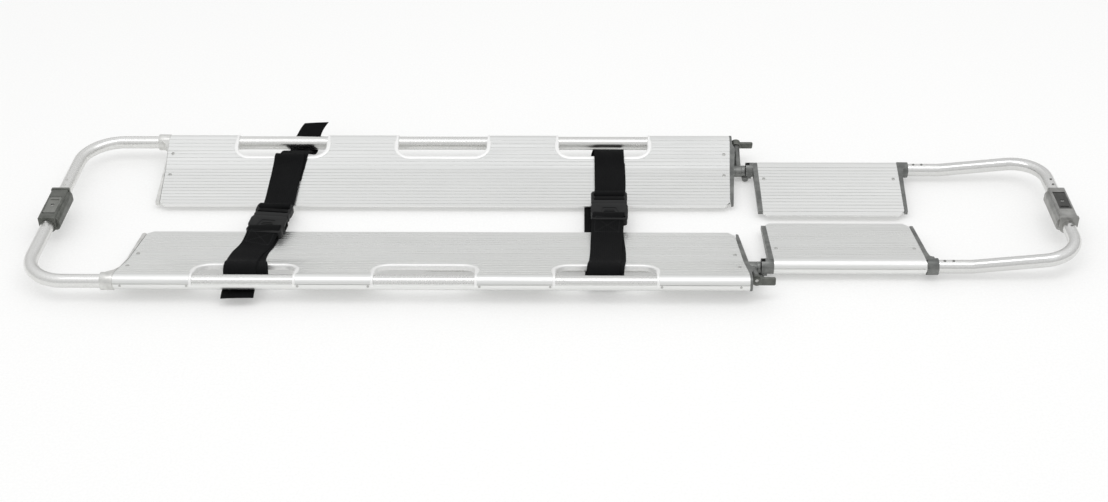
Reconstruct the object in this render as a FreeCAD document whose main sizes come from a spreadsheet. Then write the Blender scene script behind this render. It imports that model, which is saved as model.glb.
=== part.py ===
import FreeCAD, Part
import math
import os
import Sketcher
from FreeCAD import Placement, Rotation, Vector

# A scoop stretcher that folds at the shins.  Two mirrored halves lie side by side and are
# joined by a coupler at the head loop and one at the foot loop.
# Row frame: +X runs from head to foot, +Y to the patient's left, +Z up, the floor is z = 0.
# "Inboard" distances run from a rail's tube centre towards the middle of the stretcher.

DIMENSIONS = (
    ("half_length", 839, "middle to the centre of each end loop's cross tube"),
    ("tube_r", 11, "outer radius of the frame tube"),
    ("tube_wall", 2, "wall of the frame tube"),
    ("main_y", 209, "middle to the main rail's tube centre"),
    ("main_z", 34, "height of the main rail's tube centre"),
    ("leg_y", 144, "middle to the leg rail's tube centre"),
    ("leg_z", 19.4, "height of the leg rail's tube centre"),
    ("foot_z", 38, "height of the foot loop's cross tube"),
    ("head_bend", 66, "bend radius of the head loop"),
    ("foot_bend", 58, "bend radius of the foot loop"),
    ("kink_x", 666, "where the foot loop starts to rise"),
    ("kink_bend", 60, "bend radius of that rise"),
    ("rail_r", 12.8, "outer radius of the panel's rail channel"),
    ("rail_bore", 11.05, "inner radius of the rail channel"),
    ("deck", 2.6, "thickness of the panel's deck"),
    ("main_head", -691, "head edge of the main panel at the rail"),
    ("main_head_skew", 12, "how much further to the foot that edge lies at the inner side"),
    ("main_foot", 305.6, "foot edge of the main panel at the rail"),
    ("main_foot_skew", 9, "how much shorter the panel is there at the inner side"),
    ("top_d", 3.8, "inboard distance where the main deck leaves the rail"),
    ("top_drop", 12.2, "height of that line over the tube centre"),
    ("crease_d", 70, "inboard distance of the crease in the main deck"),
    ("crease_drop", 8.1, "drop of the crease below the tube centre"),
    ("edge_d", 170, "inboard distance of the main deck's inner edge"),
    ("edge_drop", 22.5, "drop of that edge below the tube centre"),
    ("leg_head", 350, "hinge edge of the leg panel"),
    ("leg_foot", 592, "foot edge of the leg panel at the rail"),
    ("leg_foot_skew", 4, "how much shorter the leg panel is there at the inner side"),
    ("leg_top_d", 1.9, "inboard distance where the leg deck leaves its rail"),
    ("leg_top", 12.6, "height of that line over the leg tube centre"),
    ("leg_edge_d", 131.7, "inboard distance of the leg deck's inner edge"),
    ("leg_edge_drop", 7, "drop of that edge below the leg tube centre"),
    ("corner_cut", 11, "chamfer at a panel's inner corners"),
    ("rib_pitch", 8, "pitch of the fine grooves along the decks"),
    ("rib_width", 1.1, "width of a groove"),
    ("rib_depth", 0.5, "depth of a groove"),
    ("seam_rise", 3.3, "rise of the rail's seam above the tube centre"),
    ("grip_length", 160, "length of a handhold"),
    ("grip_pitch", 284.5, "pitch of the handholds"),
    ("grip_middle", -203, "middle handhold"),
    ("grip_d", 46, "inboard distance of a handhold's inner side"),
    ("grip_corner", 24, "corner radius of a handhold"),
    ("lip_r", 2.6, "radius of the bead round a handhold"),
    ("cast_width", 8, "width of a casting along the stretcher"),
    ("cast_rise", 0.5, "how far a casting stands over the deck"),
    ("cast_depth", 6, "depth of a casting at the inner end"),
    ("collar_r", 14.2, "outer radius of a casting's collar"),
    ("collar_length", 20, "length of a collar"),
    ("pad_d", 82, "inboard distance of the head casting's foot"),
    ("leg_pad_d", 35, "inboard distance of the leg casting's foot"),
    ("pad_width", 20, "width of a foot"),
    ("rod_z", 16.1, "height of the telescoping rod's centre"),
    ("rod_r", 6.5, "radius of the rod"),
    ("rod_bore", 4.2, "radius of the hollow in the rod"),
    ("rod_tail", -190, "inner end of the rod"),
    ("rod_stop_r", 7.1, "radius of the stop collar on the rod's tail"),
    ("sleeve_r", 8.2, "outer radius of the rod's sleeve"),
    ("sleeve_bore", 7.2, "inner radius of the sleeve"),
    ("sleeve_head", -206, "head end of the sleeve"),
    ("sleeve_foot", 290, "foot end of the sleeve"),
    ("bush_length", 18, "length of the bush in the sleeve's mouth"),
    ("running", 0.05, "radial clearance of a running fit"),
    ("boss_r", 10, "radius of the boss on the hinge casting"),
    ("boss_end", 323, "foot end of that boss"),
    ("yoke_end", 329.5, "foot face of the rod's yoke"),
    ("hinge_x", 330, "fold axis along the stretcher"),
    ("hinge_z", 5.5, "height of the fold axis"),
    ("barrel_r", 5.5, "radius of the hinge barrels"),
    ("lug_half", 4, "half width of the yoke's lug"),
    ("ear_gap", 4.2, "inner side of the leg casting's ears"),
    ("ear_half", 9, "outer side of the ears"),
    ("hinge_pin_r", 2.5, "radius of the hinge pin"),
    ("leg_boss_r", 12.5, "radius of the leg casting's boss"),
    ("lock_x", 317, "lock plunger along the stretcher"),
    ("lock_pitch", 120, "pitch of the rod's length settings"),
    ("lock_tilt", 17.8, "rise of the plunger's axis, degrees"),
    ("lock_pin_r", 3, "radius of the plunger"),
    ("lock_tip", 7.2, "plunger tip from the rod's centre when it is drawn"),
    ("barrel_out", 56, "outer end of the plunger's barrel from the rod's centre"),
    ("lever_out", 67, "outer face of the lever's hub from the rod's centre"),
    ("lever_reach", 30, "length of the lever's paddle from its axis"),
    ("hub_r", 8, "radius of the lever's hub"),
    ("head_shift", -11, "middle of the head coupler across the stretcher"),
    ("foot_shift", -10, "middle of the foot coupler across the stretcher"),
    ("shell_half", 45, "half length of a coupler's housing"),
    ("shell_r", 14, "half width of the housing"),
    ("shell_top", 16, "height of the housing's flat top"),
    ("cheek", 19, "reach of the housing's inner cheek from the tube's centre"),
    ("mouth_r", 11.3, "bore that takes the other half's tube"),
    ("entry", 32, "where the entering tube ends, from the coupler's middle"),
    ("seat", 22, "where the fixed tube ends, from the coupler's middle"),
    ("tongue_r", 8.9, "radius of the tongue"),
    ("latch_thick", 3.6, "thickness of the latch plate"),
    ("latch_half", 10, "half width of the latch plate"),
    ("latch_pin_r", 1.2, "radius of the latch's pivot pin"),
    ("webbing", 50, "width of the straps"),
    ("strap_thick", 2.2, "thickness of the webbing"),
    ("chest_x", -476, "chest strap along the stretcher"),
    ("hip_x", 91.5, "hip strap along the stretcher"),
    ("chest_slant", 5, "slant of the chest strap, degrees"),
    ("buckle_width", 62, "width of a buckle"),
    ("buckle_thick", 13, "thickness of a buckle"),
    ("chest_buckle_z", 15, "underside of the chest buckle"),
    ("hip_buckle_z", 19, "underside of the hip buckle"),
)

ALONG_X = Rotation(Vector(0, 1, 0), 90)
ALONG_Y = Rotation(Vector(1, 0, 0), -90)
SECTION = Rotation(Vector(1, 1, 1), 120)
PLAN = Rotation()

doc = FreeCAD.newDocument("folding_stretcher")
dims = doc.addObject("Spreadsheet::Sheet", "dims")
for row, (alias, value, note) in enumerate(DIMENSIONS, start=1):
    dims.set(f"A{row}", note)
    dims.set(f"B{row}", str(value))
    dims.setAlias(f"B{row}", alias)
doc.recompute()

nodes = []


def size(alias):
    """A dimension's value, for code that needs a number."""
    return float(dims.get(alias))


def node(item, label):
    """Names a finished sub-part and keeps it for export."""
    item.Label = label
    nodes.append(item)
    return item


def at(item, x="0", y="0", z="0", turn=PLAN):
    """Puts an item at a bound place."""
    item.Placement = Placement(Vector(), turn)
    for axis, expression in zip("xyz", (x, y, z)):
        item.setExpression(f"Placement.Base.{axis}", expression)
    return item


def bar(radius, start, end, y="0", z="0", turn=ALONG_X, x="0"):
    """A round bar from start to end along X, or along Y when turned so."""
    item = doc.addObject("Part::Cylinder", "bar")
    item.setExpression("Radius", radius)
    item.setExpression("Height", f"({end}) - ({start})")
    if turn is ALONG_X:
        return at(item, start, y, z, turn)
    return at(item, x, start, z, turn)


def block(x, y, z):
    """A box between pairs of bounds."""
    item = doc.addObject("Part::Box", "block")
    for prop, bounds in zip(("Length", "Width", "Height"), (x, y, z)):
        item.setExpression(prop, f"({bounds[1]}) - ({bounds[0]})")
    return at(item, x[0], y[0], z[0])


def outline(corners, turn, x="0", y="0", z="0"):
    """A closed sketch of straight sides, each corner bound to two expressions."""
    sketch = doc.addObject("Sketcher::SketchObject", "outline")
    count = len(corners)
    places = [Vector(number, number * number, 0) for number in range(count)]
    lines = [Part.LineSegment(places[k], places[(k + 1) % count]) for k in range(count)]
    sketch.addGeometry(lines)
    rules = [Sketcher.Constraint("Coincident", k, 2, (k + 1) % count, 1) for k in range(count)]
    for k in range(count):
        rules.append(Sketcher.Constraint("DistanceX", -1, 1, k, 1, places[k].x))
        rules.append(Sketcher.Constraint("DistanceY", -1, 1, k, 1, places[k].y))
    sketch.addConstraint(rules)
    for k, pair in enumerate(corners):
        sketch.setExpression(f"Constraints[{count + 2 * k}]", pair[0])
        sketch.setExpression(f"Constraints[{count + 2 * k + 1}]", pair[1])
    return at(sketch, x, y, z, turn)


def prism(corners, turn, start, end):
    """A sketch extruded from start to end along its normal."""
    along = {"x": start} if turn is SECTION else {"z": start}
    sketch = outline(corners, turn, **along)
    item = doc.addObject("Part::Extrusion", "prism")
    item.Base = sketch
    item.DirMode = "Normal"
    item.Solid = True
    item.setExpression("LengthFwd", f"({end}) - ({start})")
    return item


def joined(*pieces):
    """Pieces fused into one."""
    item = doc.addObject("Part::MultiFuse", "joined")
    item.Shapes = list(pieces)
    item.Refine = True
    return item


def shared(first, second):
    """What two pieces have in common."""
    item = doc.addObject("Part::MultiCommon", "shared")
    item.Shapes = [first, second]
    return item


def without(piece, *tools):
    """A piece with tools cut away."""
    for tool in tools:
        item = doc.addObject("Part::Cut", "without")
        item.Base = piece
        item.Tool = tool
        piece = item
    piece.Refine = True
    return piece


def rounded(piece, radius, wanted):
    """A piece with the edges that a test picks rounded."""
    doc.recompute()
    edges = [k for k, edge in enumerate(piece.Shape.Edges, start=1) if wanted(edge)]
    item = doc.addObject("Part::Fillet", "rounded")
    item.Base = piece
    item.Edges = [(k, radius, radius) for k in edges]
    return item


def straight(axis):
    """A test for straight edges along an axis."""
    def wanted(edge):
        line = edge.Curve.TypeId == "Part::GeomLine"
        return line and abs(abs(edge.Curve.Direction.dot(axis)) - 1) < 1e-6
    return wanted


def group(pieces):
    """Separate solids kept together in one sub-part."""
    item = doc.addObject("Part::Compound", "group")
    item.Links = pieces
    return item


def twin_of(item):
    """A piece mirrored to the other side of the stretcher."""
    twin = doc.addObject("Part::Mirroring", "twin")
    twin.Source = item
    twin.Normal = Vector(0, 1, 0)
    return twin


def both_sides(item, name):
    """Names the left piece and adds its mirrored twin on the right."""
    node(item, f"left_{name}")
    return node(twin_of(item), f"right_{name}")


# ---------------------------------------------------------------- frame tubes

def head_loop(side, end, label):
    """The main rail with its half of the head loop: one tube bent once."""
    sign = "" if side > 0 else "-"
    body = doc.addObject("PartDesign::Body", "head_loop")
    planes = {item.Role: item for item in body.Origin.OriginFeatures}
    bend = size("head_bend")
    rail = side * size("main_y")
    loop = -size("half_length")
    route = body.newObject("Sketcher::SketchObject", "route")
    route.AttachmentSupport = (planes["XY_Plane"], "")
    route.MapMode = "FlatFace"
    route.setExpression("AttachmentOffset.Base.z", "dims.main_z")
    centre = Vector(loop + bend, rail - side * bend, 0)
    turn = (math.pi / 2, math.pi) if side > 0 else (math.pi, 1.5 * math.pi)
    across, along = (2, 1) if side > 0 else (1, 2)
    route.addGeometry([
        Part.LineSegment(Vector(loop, side * 8, 0), Vector(loop, rail - side * bend, 0)),
        Part.ArcOfCircle(Part.Circle(centre, Vector(0, 0, 1), bend), *turn),
        Part.LineSegment(Vector(loop + bend, rail, 0), Vector(size("main_foot"), rail, 0)),
    ])
    route.addConstraint([
        Sketcher.Constraint("Tangent", 0, 2, 1, across),
        Sketcher.Constraint("Tangent", 2, 1, 1, along),
        Sketcher.Constraint("Vertical", 0),
        Sketcher.Constraint("Horizontal", 2),
        Sketcher.Constraint("Radius", 1, bend),
        Sketcher.Constraint("DistanceX", -1, 1, 0, 1, loop),
        Sketcher.Constraint("DistanceY", -1, 1, 0, 1, side * 8.0),
        Sketcher.Constraint("DistanceX", -1, 1, 2, 2, size("main_foot")),
        Sketcher.Constraint("DistanceY", -1, 1, 2, 2, rail),
    ])
    for index, expression in (
        (4, "dims.head_bend"),
        (5, "-dims.half_length"),
        (6, end),
        (7, "dims.main_foot"),
        (8, f"{sign}dims.main_y"),
    ):
        route.setExpression(f"Constraints[{index}]", expression)
    ring = body.newObject("Sketcher::SketchObject", "ring")
    ring.AttachmentSupport = (planes["YZ_Plane"], "")
    ring.MapMode = "FlatFace"
    ring.setExpression("AttachmentOffset.Base.z", "dims.main_foot")
    middle = Vector(rail, size("main_z"), 0)
    for radius in ("dims.tube_r", "dims.tube_r - dims.tube_wall"):
        number = ring.addGeometry(Part.Circle(middle, Vector(0, 0, 1), 10))
        first = ring.addConstraint([
            Sketcher.Constraint("Radius", number, 10),
            Sketcher.Constraint("DistanceX", -1, 1, number, 3, rail),
            Sketcher.Constraint("DistanceY", -1, 1, number, 3, size("main_z")),
        ])[0]
        ring.setExpression(f"Constraints[{first}]", radius)
        ring.setExpression(f"Constraints[{first + 1}]", f"{sign}dims.main_y")
        ring.setExpression(f"Constraints[{first + 2}]", "dims.main_z")
    pipe = body.newObject("PartDesign::AdditivePipe", "pipe")
    pipe.Profile = ring
    pipe.Spine = (route, ["Edge1", "Edge2", "Edge3"])
    body.Tip = pipe
    return node(body, label)


def rounded_route(points, radii):
    """Straight runs joined by tangent arcs."""
    edges = []
    start = points[0]
    for before, corner, after, radius in zip(points, points[1:], points[2:], radii):
        back = (before - corner).normalize()
        ahead = (after - corner).normalize()
        half = back.getAngle(ahead) / 2
        into = corner + back * (radius / math.tan(half))
        out = corner + ahead * (radius / math.tan(half))
        centre = corner + (back + ahead).normalize() * (radius / math.sin(half))
        middle = centre + (corner - centre).normalize() * radius
        edges.append(Part.LineSegment(start, into).toShape())
        edges.append(Part.Arc(into, middle, out).toShape())
        start = out
    edges.append(Part.LineSegment(start, points[-1]).toShape())
    return Part.Wire(edges)


def foot_loop(side, end, label):
    """The leg rail with its half of the foot loop: one tube bent in two planes."""
    leg = side * size("leg_y")
    low = size("leg_z")
    high = size("foot_z")
    points = [
        Vector(size("leg_head"), leg, low),
        Vector(size("kink_x"), leg, low),
        Vector(size("half_length"), leg, high),
        Vector(size("half_length"), end, high),
    ]
    route = rounded_route(points, (size("kink_bend"), size("foot_bend")))
    skins = []
    for radius in (size("tube_r"), size("tube_r") - size("tube_wall")):
        circle = Part.Wire(Part.makeCircle(radius, points[0], Vector(1, 0, 0)))
        skins.append(route.makePipeShell([circle], True, False))
    tube = doc.addObject("Part::Feature", "foot_loop")
    tube.Shape = skins[0].cut(skins[1])
    return node(tube, label)


head_loop(1, "dims.head_shift + dims.seat", "left_main_tube")
head_loop(-1, "dims.head_shift - dims.entry", "right_main_tube")
foot_loop(1, size("foot_shift") + size("entry"), "left_foot_loop")
foot_loop(-1, size("foot_shift") - size("seat"), "right_foot_loop")


# ---------------------------------------------------------------- panels

MAIN_Y = "dims.main_y - "
LEG_Y = "dims.leg_y - "


def ribbed_line(start, end, margin):
    """Top line of a deck from start to end, each an inboard distance and a height, grooved."""
    span = end[0] - start[0]
    slope = (end[1] - start[1]) / span
    pitch = size("rib_pitch")
    count = int((span - 2 * margin) / pitch)
    first = (span - pitch * count) / 2
    line = [start]
    for k in range(count + 1):
        middle = first + k * pitch
        near = middle - size("rib_width") / 2
        far = middle + size("rib_width") / 2
        floor = size("rib_depth")
        for reach, depth in ((near, 0), (near, floor), (far, floor), (far, 0)):
            line.append((start[0] + reach, start[1] + slope * reach - depth))
    line.append(end)
    return line


def deck_section(rail, height, top, bottom):
    """Expressions for a deck's outline, from its grooved top line and its bottom line."""
    corners = []
    for inboard, rise in top + list(reversed(bottom)):
        corners.append((f"{rail}{inboard:.3f}", f"{height} + {rise:.3f}"))
    return corners


def plan_corners(rail, corners):
    """Plan corners, each an expression along the stretcher and an inboard distance."""
    return [(x, f"{rail}({inboard})") for x, inboard in corners]


def main_panel():
    """Ribbed deck with the rail channel that wraps the main tube, cut for three handholds."""
    start = (size("top_d"), size("top_drop"))
    crease = (size("crease_d"), -size("crease_drop"))
    edge = (size("edge_d"), -size("edge_drop"))
    top = ribbed_line(start, crease, 5)[:-1] + ribbed_line(crease, edge, 3)
    bottom = [(d, z - size("deck")) for d, z in (start, crease, edge)]
    section = deck_section(MAIN_Y, "dims.main_z", top, bottom)
    deck = prism(section, SECTION, "dims.main_head", "dims.main_foot")
    channel = bar("dims.rail_r", "dims.main_head", "dims.main_foot", "dims.main_y", "dims.main_z")
    far = "dims.rail_r"
    plan = prism(plan_corners(MAIN_Y, [
        ("dims.main_head", "-2 * " + far),
        ("dims.main_head", far),
        ("dims.main_head + dims.main_head_skew", "dims.edge_d - 8"),
        ("dims.main_head + dims.main_head_skew + dims.corner_cut", "dims.edge_d + 1"),
        ("dims.main_foot - dims.main_foot_skew - dims.corner_cut", "dims.edge_d + 1"),
        ("dims.main_foot - dims.main_foot_skew", "dims.edge_d - dims.corner_cut"),
        ("dims.main_foot", far),
        ("dims.main_foot", "-2 * " + far),
    ]), PLAN, "0", "60")
    blank = shared(joined(deck, channel), plan)
    bore = bar("dims.rail_bore", "dims.main_head - 1", "dims.main_foot + 1",
               "dims.main_y", "dims.main_z")
    tools = [bore]
    seam = block(("dims.main_head - 1", "dims.main_foot + 1"),
                 ("dims.main_y + dims.rail_bore", "dims.main_y + dims.rail_r + 1"),
                 ("dims.main_z + dims.seam_rise - 0.7", "dims.main_z + dims.seam_rise + 0.7"))
    tools.append(seam)
    for step in (-1, 0, 1):
        middle = f"dims.grip_middle + {step} * dims.grip_pitch"
        span = (f"{middle} - dims.grip_length / 2", f"{middle} + dims.grip_length / 2")
        inner = block(span, ("dims.main_y - dims.grip_d", "dims.main_y - 4"), ("0", "60"))
        upright = straight(Vector(0, 0, 1))
        limit = size("main_y") - size("grip_d") + 1
        inner = rounded(inner, size("grip_corner"),
                        lambda edge: upright(edge) and edge.Vertexes[0].Y < limit)
        outer = block(span, ("dims.main_y - 5", "dims.main_y + 20"),
                      ("dims.main_z + dims.seam_rise", "60"))
        tools.append(joined(inner, outer))
    return without(blank, *tools)


def leg_panel():
    """Ribbed deck of the leg section with the channel that wraps its rail."""
    start = (size("leg_top_d"), size("leg_top"))
    edge = (size("leg_edge_d"), -size("leg_edge_drop"))
    top = ribbed_line(start, edge, 5)
    bottom = [(d, z - size("deck")) for d, z in (start, edge)]
    section = deck_section(LEG_Y, "dims.leg_z", top, bottom)
    deck = prism(section, SECTION, "dims.leg_head", "dims.leg_foot")
    channel = bar("dims.rail_r", "dims.leg_head", "dims.leg_foot", "dims.leg_y", "dims.leg_z")
    far = "dims.rail_r"
    plan = prism(plan_corners(LEG_Y, [
        ("dims.leg_head", "-2 * " + far),
        ("dims.leg_head", "dims.leg_edge_d - 6"),
        ("dims.leg_head + 8", "dims.leg_edge_d + 1"),
        ("dims.leg_foot - dims.leg_foot_skew - dims.corner_cut", "dims.leg_edge_d + 1"),
        ("dims.leg_foot - dims.leg_foot_skew", "dims.leg_edge_d - dims.corner_cut"),
        ("dims.leg_foot", far),
        ("dims.leg_foot", "-2 * " + far),
    ]), PLAN, "0", "60")
    bore = bar("dims.rail_bore", "dims.leg_head - 1", "dims.leg_foot + 1",
               "dims.leg_y", "dims.leg_z")
    seam = block(("dims.leg_head - 1", "dims.leg_foot + 1"),
                 ("dims.leg_y + dims.rail_bore", "dims.leg_y + dims.rail_r + 1"),
                 ("dims.leg_z + dims.seam_rise - 0.7", "dims.leg_z + dims.seam_rise + 0.7"))
    return without(shared(joined(deck, channel), plan), bore, seam)


def handhold_beads():
    """A bright bead round the inner side and ends of each handhold."""
    slope = math.atan2(size("top_drop") + size("crease_drop"), size("crease_d") - size("top_d"))
    tilt = Rotation(Vector(1, 0, 0), math.degrees(slope))
    beads = []
    for step in (-1, 0, 1):
        middle = size("grip_middle") + step * size("grip_pitch")
        half = size("grip_length") / 2
        reach = (size("grip_d") - size("top_d")) / math.cos(slope)
        corners = [Vector(-half, -7, 0), Vector(-half, -reach, 0), Vector(half, -reach, 0),
                   Vector(half, -7, 0)]
        route = rounded_route(corners, (size("grip_corner"),) * 2)
        ring = Part.Wire(Part.makeCircle(size("lip_r"), corners[0], Vector(0, 1, 0)))
        bead = doc.addObject("Part::Feature", "bead")
        bead.Shape = route.makePipeShell([ring], True, False)
        lift = size("main_z") + size("top_drop") - 0.6
        bead.Placement = Placement(Vector(middle, size("main_y") - size("top_d"), lift), tilt)
        beads.append(bead)
    return group(beads)


both_sides(main_panel(), "main_panel")
both_sides(leg_panel(), "leg_panel")
both_sides(handhold_beads(), "handhold_beads")


# ---------------------------------------------------------------- castings

def main_rib(start, end):
    """Solid that follows the main deck, deeper than the deck, for the castings."""
    rise = "dims.cast_rise"
    return prism([
        (MAIN_Y + "0", f"dims.main_z + dims.top_drop + {rise}"),
        (MAIN_Y + "dims.top_d", f"dims.main_z + dims.top_drop + {rise}"),
        (MAIN_Y + "dims.crease_d", f"dims.main_z - dims.crease_drop + {rise}"),
        (MAIN_Y + "(dims.edge_d - 6)", f"dims.main_z - dims.edge_drop + 0.9 + {rise}"),
        (MAIN_Y + "(dims.edge_d - 6)", "dims.main_z - dims.edge_drop + 0.9 - dims.cast_depth"),
        (MAIN_Y + "dims.crease_d", "dims.main_z - dims.crease_drop - 9"),
        (MAIN_Y + "0", "dims.main_z - 4"),
    ], SECTION, start, end)


def head_casting():
    """Die-cast end of the main panel at the head, with a collar and a foot."""
    edge = "dims.main_head"
    inner_edge = "dims.main_head + dims.main_head_skew"
    plan = prism(plan_corners(MAIN_Y, [
        (f"{edge} - 14", "-dims.rail_r"),
        (f"{edge} - 14", "dims.tube_r"),
        (f"{edge} - 4", "dims.tube_r + 9"),
        (f"{edge} + 1", "dims.tube_r + 22"),
        (f"{inner_edge} - dims.cast_width", "dims.edge_d - 9"),
        (f"{inner_edge} - 5", "dims.edge_d - 6"),
        (f"{inner_edge} - 1", "dims.edge_d - 8"),
        (edge, "dims.rail_r"),
        (edge, "-dims.rail_r"),
    ]), PLAN, "0", "60")
    rib = shared(main_rib(f"{edge} - 30", f"{inner_edge} + 1"), plan)
    collar = bar("dims.collar_r", f"{edge} - dims.collar_length", edge, "dims.main_y", "dims.main_z")
    pad = block((f"{edge} + 2", f"{edge} + 10"),
                ("dims.main_y - dims.pad_d - dims.pad_width / 2",
                 "dims.main_y - dims.pad_d + dims.pad_width / 2"),
                ("0", "dims.main_z - dims.crease_drop - 6"))
    bore = bar("dims.rail_bore", f"{edge} - 60", f"{edge} + 60", "dims.main_y", "dims.main_z")
    return without(joined(rib, collar, pad), bore)


def lock_place(item, out):
    """Puts an item made along Z on the plunger's axis, out from the rod's centre."""
    tilt = size("lock_tilt")
    item.Placement = Placement(Vector(), Rotation(Vector(1, 0, 0), tilt - 90))
    item.setExpression("Placement.Base.x", "dims.lock_x")
    item.setExpression("Placement.Base.y", f"dims.leg_y + ({out}) * cos(dims.lock_tilt * 1 deg)")
    item.setExpression("Placement.Base.z", f"dims.rod_z + ({out}) * sin(dims.lock_tilt * 1 deg)")
    return item


def lock_bar(radius, start, end):
    """A round bar on the plunger's axis."""
    item = doc.addObject("Part::Cylinder", "lock_bar")
    item.setExpression("Radius", radius)
    item.setExpression("Height", f"({end}) - ({start})")
    return lock_place(item, start)


def hinge_casting():
    """Die-cast foot end of the main panel: rail cap, rod boss and plunger barrel."""
    edge = "dims.main_foot"
    inner_edge = "dims.main_foot - dims.main_foot_skew"
    width = "dims.cast_width"
    plan = prism(plan_corners(MAIN_Y, [
        (edge, "-2 * dims.rail_r"),
        (edge, "dims.rail_r"),
        (f"{inner_edge} + 1.5", "dims.edge_d - 28"),
        (f"{inner_edge} + 2", "dims.edge_d - 6"),
        (f"{inner_edge} + {width} - 2", "dims.edge_d - 8"),
        (f"{edge} + {width}", "dims.rail_r + 14"),
        (f"{edge} + {width} / 2", "dims.rail_r + 4"),
        (f"{edge} + {width} / 2", "-2 * dims.rail_r"),
    ]), PLAN, "0", "60")
    rib = shared(main_rib(f"{inner_edge} - 2", f"{edge} + {width}"), plan)
    cap = bar("dims.rail_r + 0.4", edge, f"{edge} + {width} / 2", "dims.main_y", "dims.main_z")
    boss = bar("dims.boss_r", f"{edge} + 1", "dims.boss_end", "dims.leg_y", "dims.rod_z")
    nose = bar("dims.sleeve_r", "dims.sleeve_foot", f"{edge} + 2", "dims.leg_y", "dims.rod_z")
    barrel = lock_bar("6", "4", "dims.barrel_out")
    rod = bar("dims.rod_r + dims.running", "dims.sleeve_foot - 1", "dims.boss_end + 1",
              "dims.leg_y", "dims.rod_z")
    pin = lock_bar("dims.lock_pin_r + dims.running", "0", "dims.barrel_out + 1")
    pocket = lock_bar("4.7", "16", "dims.barrel_out - 15")
    hub_room = lock_bar("dims.hub_r + 0.6", "dims.barrel_out", "dims.lever_out + 8")
    return without(joined(rib, cap, boss, nose, barrel), joined(rod, pin, pocket), hub_room)


def leg_rib(start, end):
    """Solid that follows the leg deck, deeper than the deck, for the leg castings."""
    rise = "dims.cast_rise"
    return prism([
        (LEG_Y + "0", f"dims.leg_z + dims.leg_top + {rise}"),
        (LEG_Y + "dims.leg_top_d", f"dims.leg_z + dims.leg_top + {rise}"),
        (LEG_Y + "(dims.leg_edge_d - 10)", f"dims.leg_z - dims.leg_edge_drop + 1.5 + {rise}"),
        (LEG_Y + "(dims.leg_edge_d - 10)", "dims.leg_z - dims.leg_edge_drop + 1 - dims.cast_depth"),
        (LEG_Y + "0", "dims.leg_z - 1"),
    ], SECTION, start, end)


def leg_hinge_casting():
    """Die-cast hinge end of the leg panel: boss round the rail's end and two hinge ears."""
    front = "dims.yoke_end + 1"
    edge = "dims.leg_head"
    rib = leg_rib(f"{edge} - dims.cast_width", edge)
    boss = bar("dims.leg_boss_r", front, edge, "dims.leg_y", "dims.leg_z")
    ears = bar("dims.barrel_r", "dims.leg_y - dims.ear_half", "dims.leg_y + dims.ear_half",
               z="dims.hinge_z", turn=ALONG_Y, x="dims.hinge_x")
    cheeks = block((front, "dims.hinge_x + 10"),
                   ("dims.leg_y - dims.ear_half", "dims.leg_y + dims.ear_half"),
                   ("dims.hinge_z + 1.1", "dims.leg_z"))
    relief = block(("dims.hinge_x - 10", "dims.hinge_x + 7"),
                   ("dims.leg_y - dims.ear_gap", "dims.leg_y + dims.ear_gap"), ("-1", "60"))
    pin = bar("dims.hinge_pin_r + dims.running", "dims.leg_y - 20", "dims.leg_y + 20",
              z="dims.hinge_z", turn=ALONG_Y, x="dims.hinge_x")
    head_room = [bar("4.5", f"dims.leg_y + {start}", f"dims.leg_y + {end}",
                     z="dims.hinge_z", turn=ALONG_Y, x="dims.hinge_x")
                 for start, end in (("dims.ear_half", "20"), ("(-20)", "(-dims.ear_half)"))]
    return without(joined(rib, boss, ears, cheeks), relief, pin, *head_room)


def leg_foot_casting():
    """Die-cast foot end of the leg panel, with a collar and a foot."""
    edge = "dims.leg_foot"
    inner_edge = "dims.leg_foot - dims.leg_foot_skew"
    width = "dims.cast_width"
    plan = prism(plan_corners(LEG_Y, [
        (edge, "0"),
        (edge, "dims.rail_r"),
        (f"{inner_edge} + 0.6", "dims.leg_edge_d - 10"),
        (f"{inner_edge} + {width} - 2", "dims.leg_edge_d - 10"),
        (f"{edge} + {width} - 1", "dims.rail_r + 14"),
        (f"{edge} + {width} + 1", "dims.rail_r + 1"),
        (f"{edge} + 15", "dims.rail_r - 2"),
        (f"{edge} + 15", "0"),
    ]), PLAN, "0", "60")
    rib = shared(leg_rib(f"{inner_edge} - 1", f"{edge} + 25"), plan)
    collar = bar("dims.collar_r - 0.6", f"{edge} + 2", f"{edge} + dims.collar_length",
                 "dims.leg_y", "dims.leg_z")
    pad = block((f"{edge} + 2", f"{edge} + {width} - 1"),
                ("dims.leg_y - dims.leg_pad_d - dims.pad_width / 2",
                 "dims.leg_y - dims.leg_pad_d + dims.pad_width / 2"),
                ("0", "dims.leg_z - 2"))
    bore = bar("dims.rail_bore", f"{edge} - 20", f"{edge} + 60", "dims.leg_y", "dims.leg_z")
    return without(joined(rib, collar, pad), bore)


both_sides(head_casting(), "head_casting")
both_sides(hinge_casting(), "hinge_casting")
both_sides(leg_hinge_casting(), "leg_hinge_casting")
both_sides(leg_foot_casting(), "leg_foot_casting")


# ---------------------------------------------------------------- telescoping rod and fold hinge

def rod_piece():
    """Hollow rod with a stop collar and four cross holes for the length settings."""
    outer = bar("dims.rod_r", "dims.rod_tail", "dims.boss_end + 0.5", "dims.leg_y", "dims.rod_z")
    stop = bar("dims.rod_stop_r", "dims.rod_tail", "dims.rod_tail + 12", "dims.leg_y", "dims.rod_z")
    hollow = bar("dims.rod_bore", "dims.rod_tail - 1", "dims.boss_end - 4",
                 "dims.leg_y", "dims.rod_z")
    holes = []
    for step in range(4):
        hole = lock_bar("dims.lock_pin_r + 0.3", "-12", "12")
        hole.setExpression("Placement.Base.x", f"dims.lock_x - {step} * dims.lock_pitch")
        holes.append(hole)
    return without(joined(outer, stop), hollow, *holes)


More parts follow.
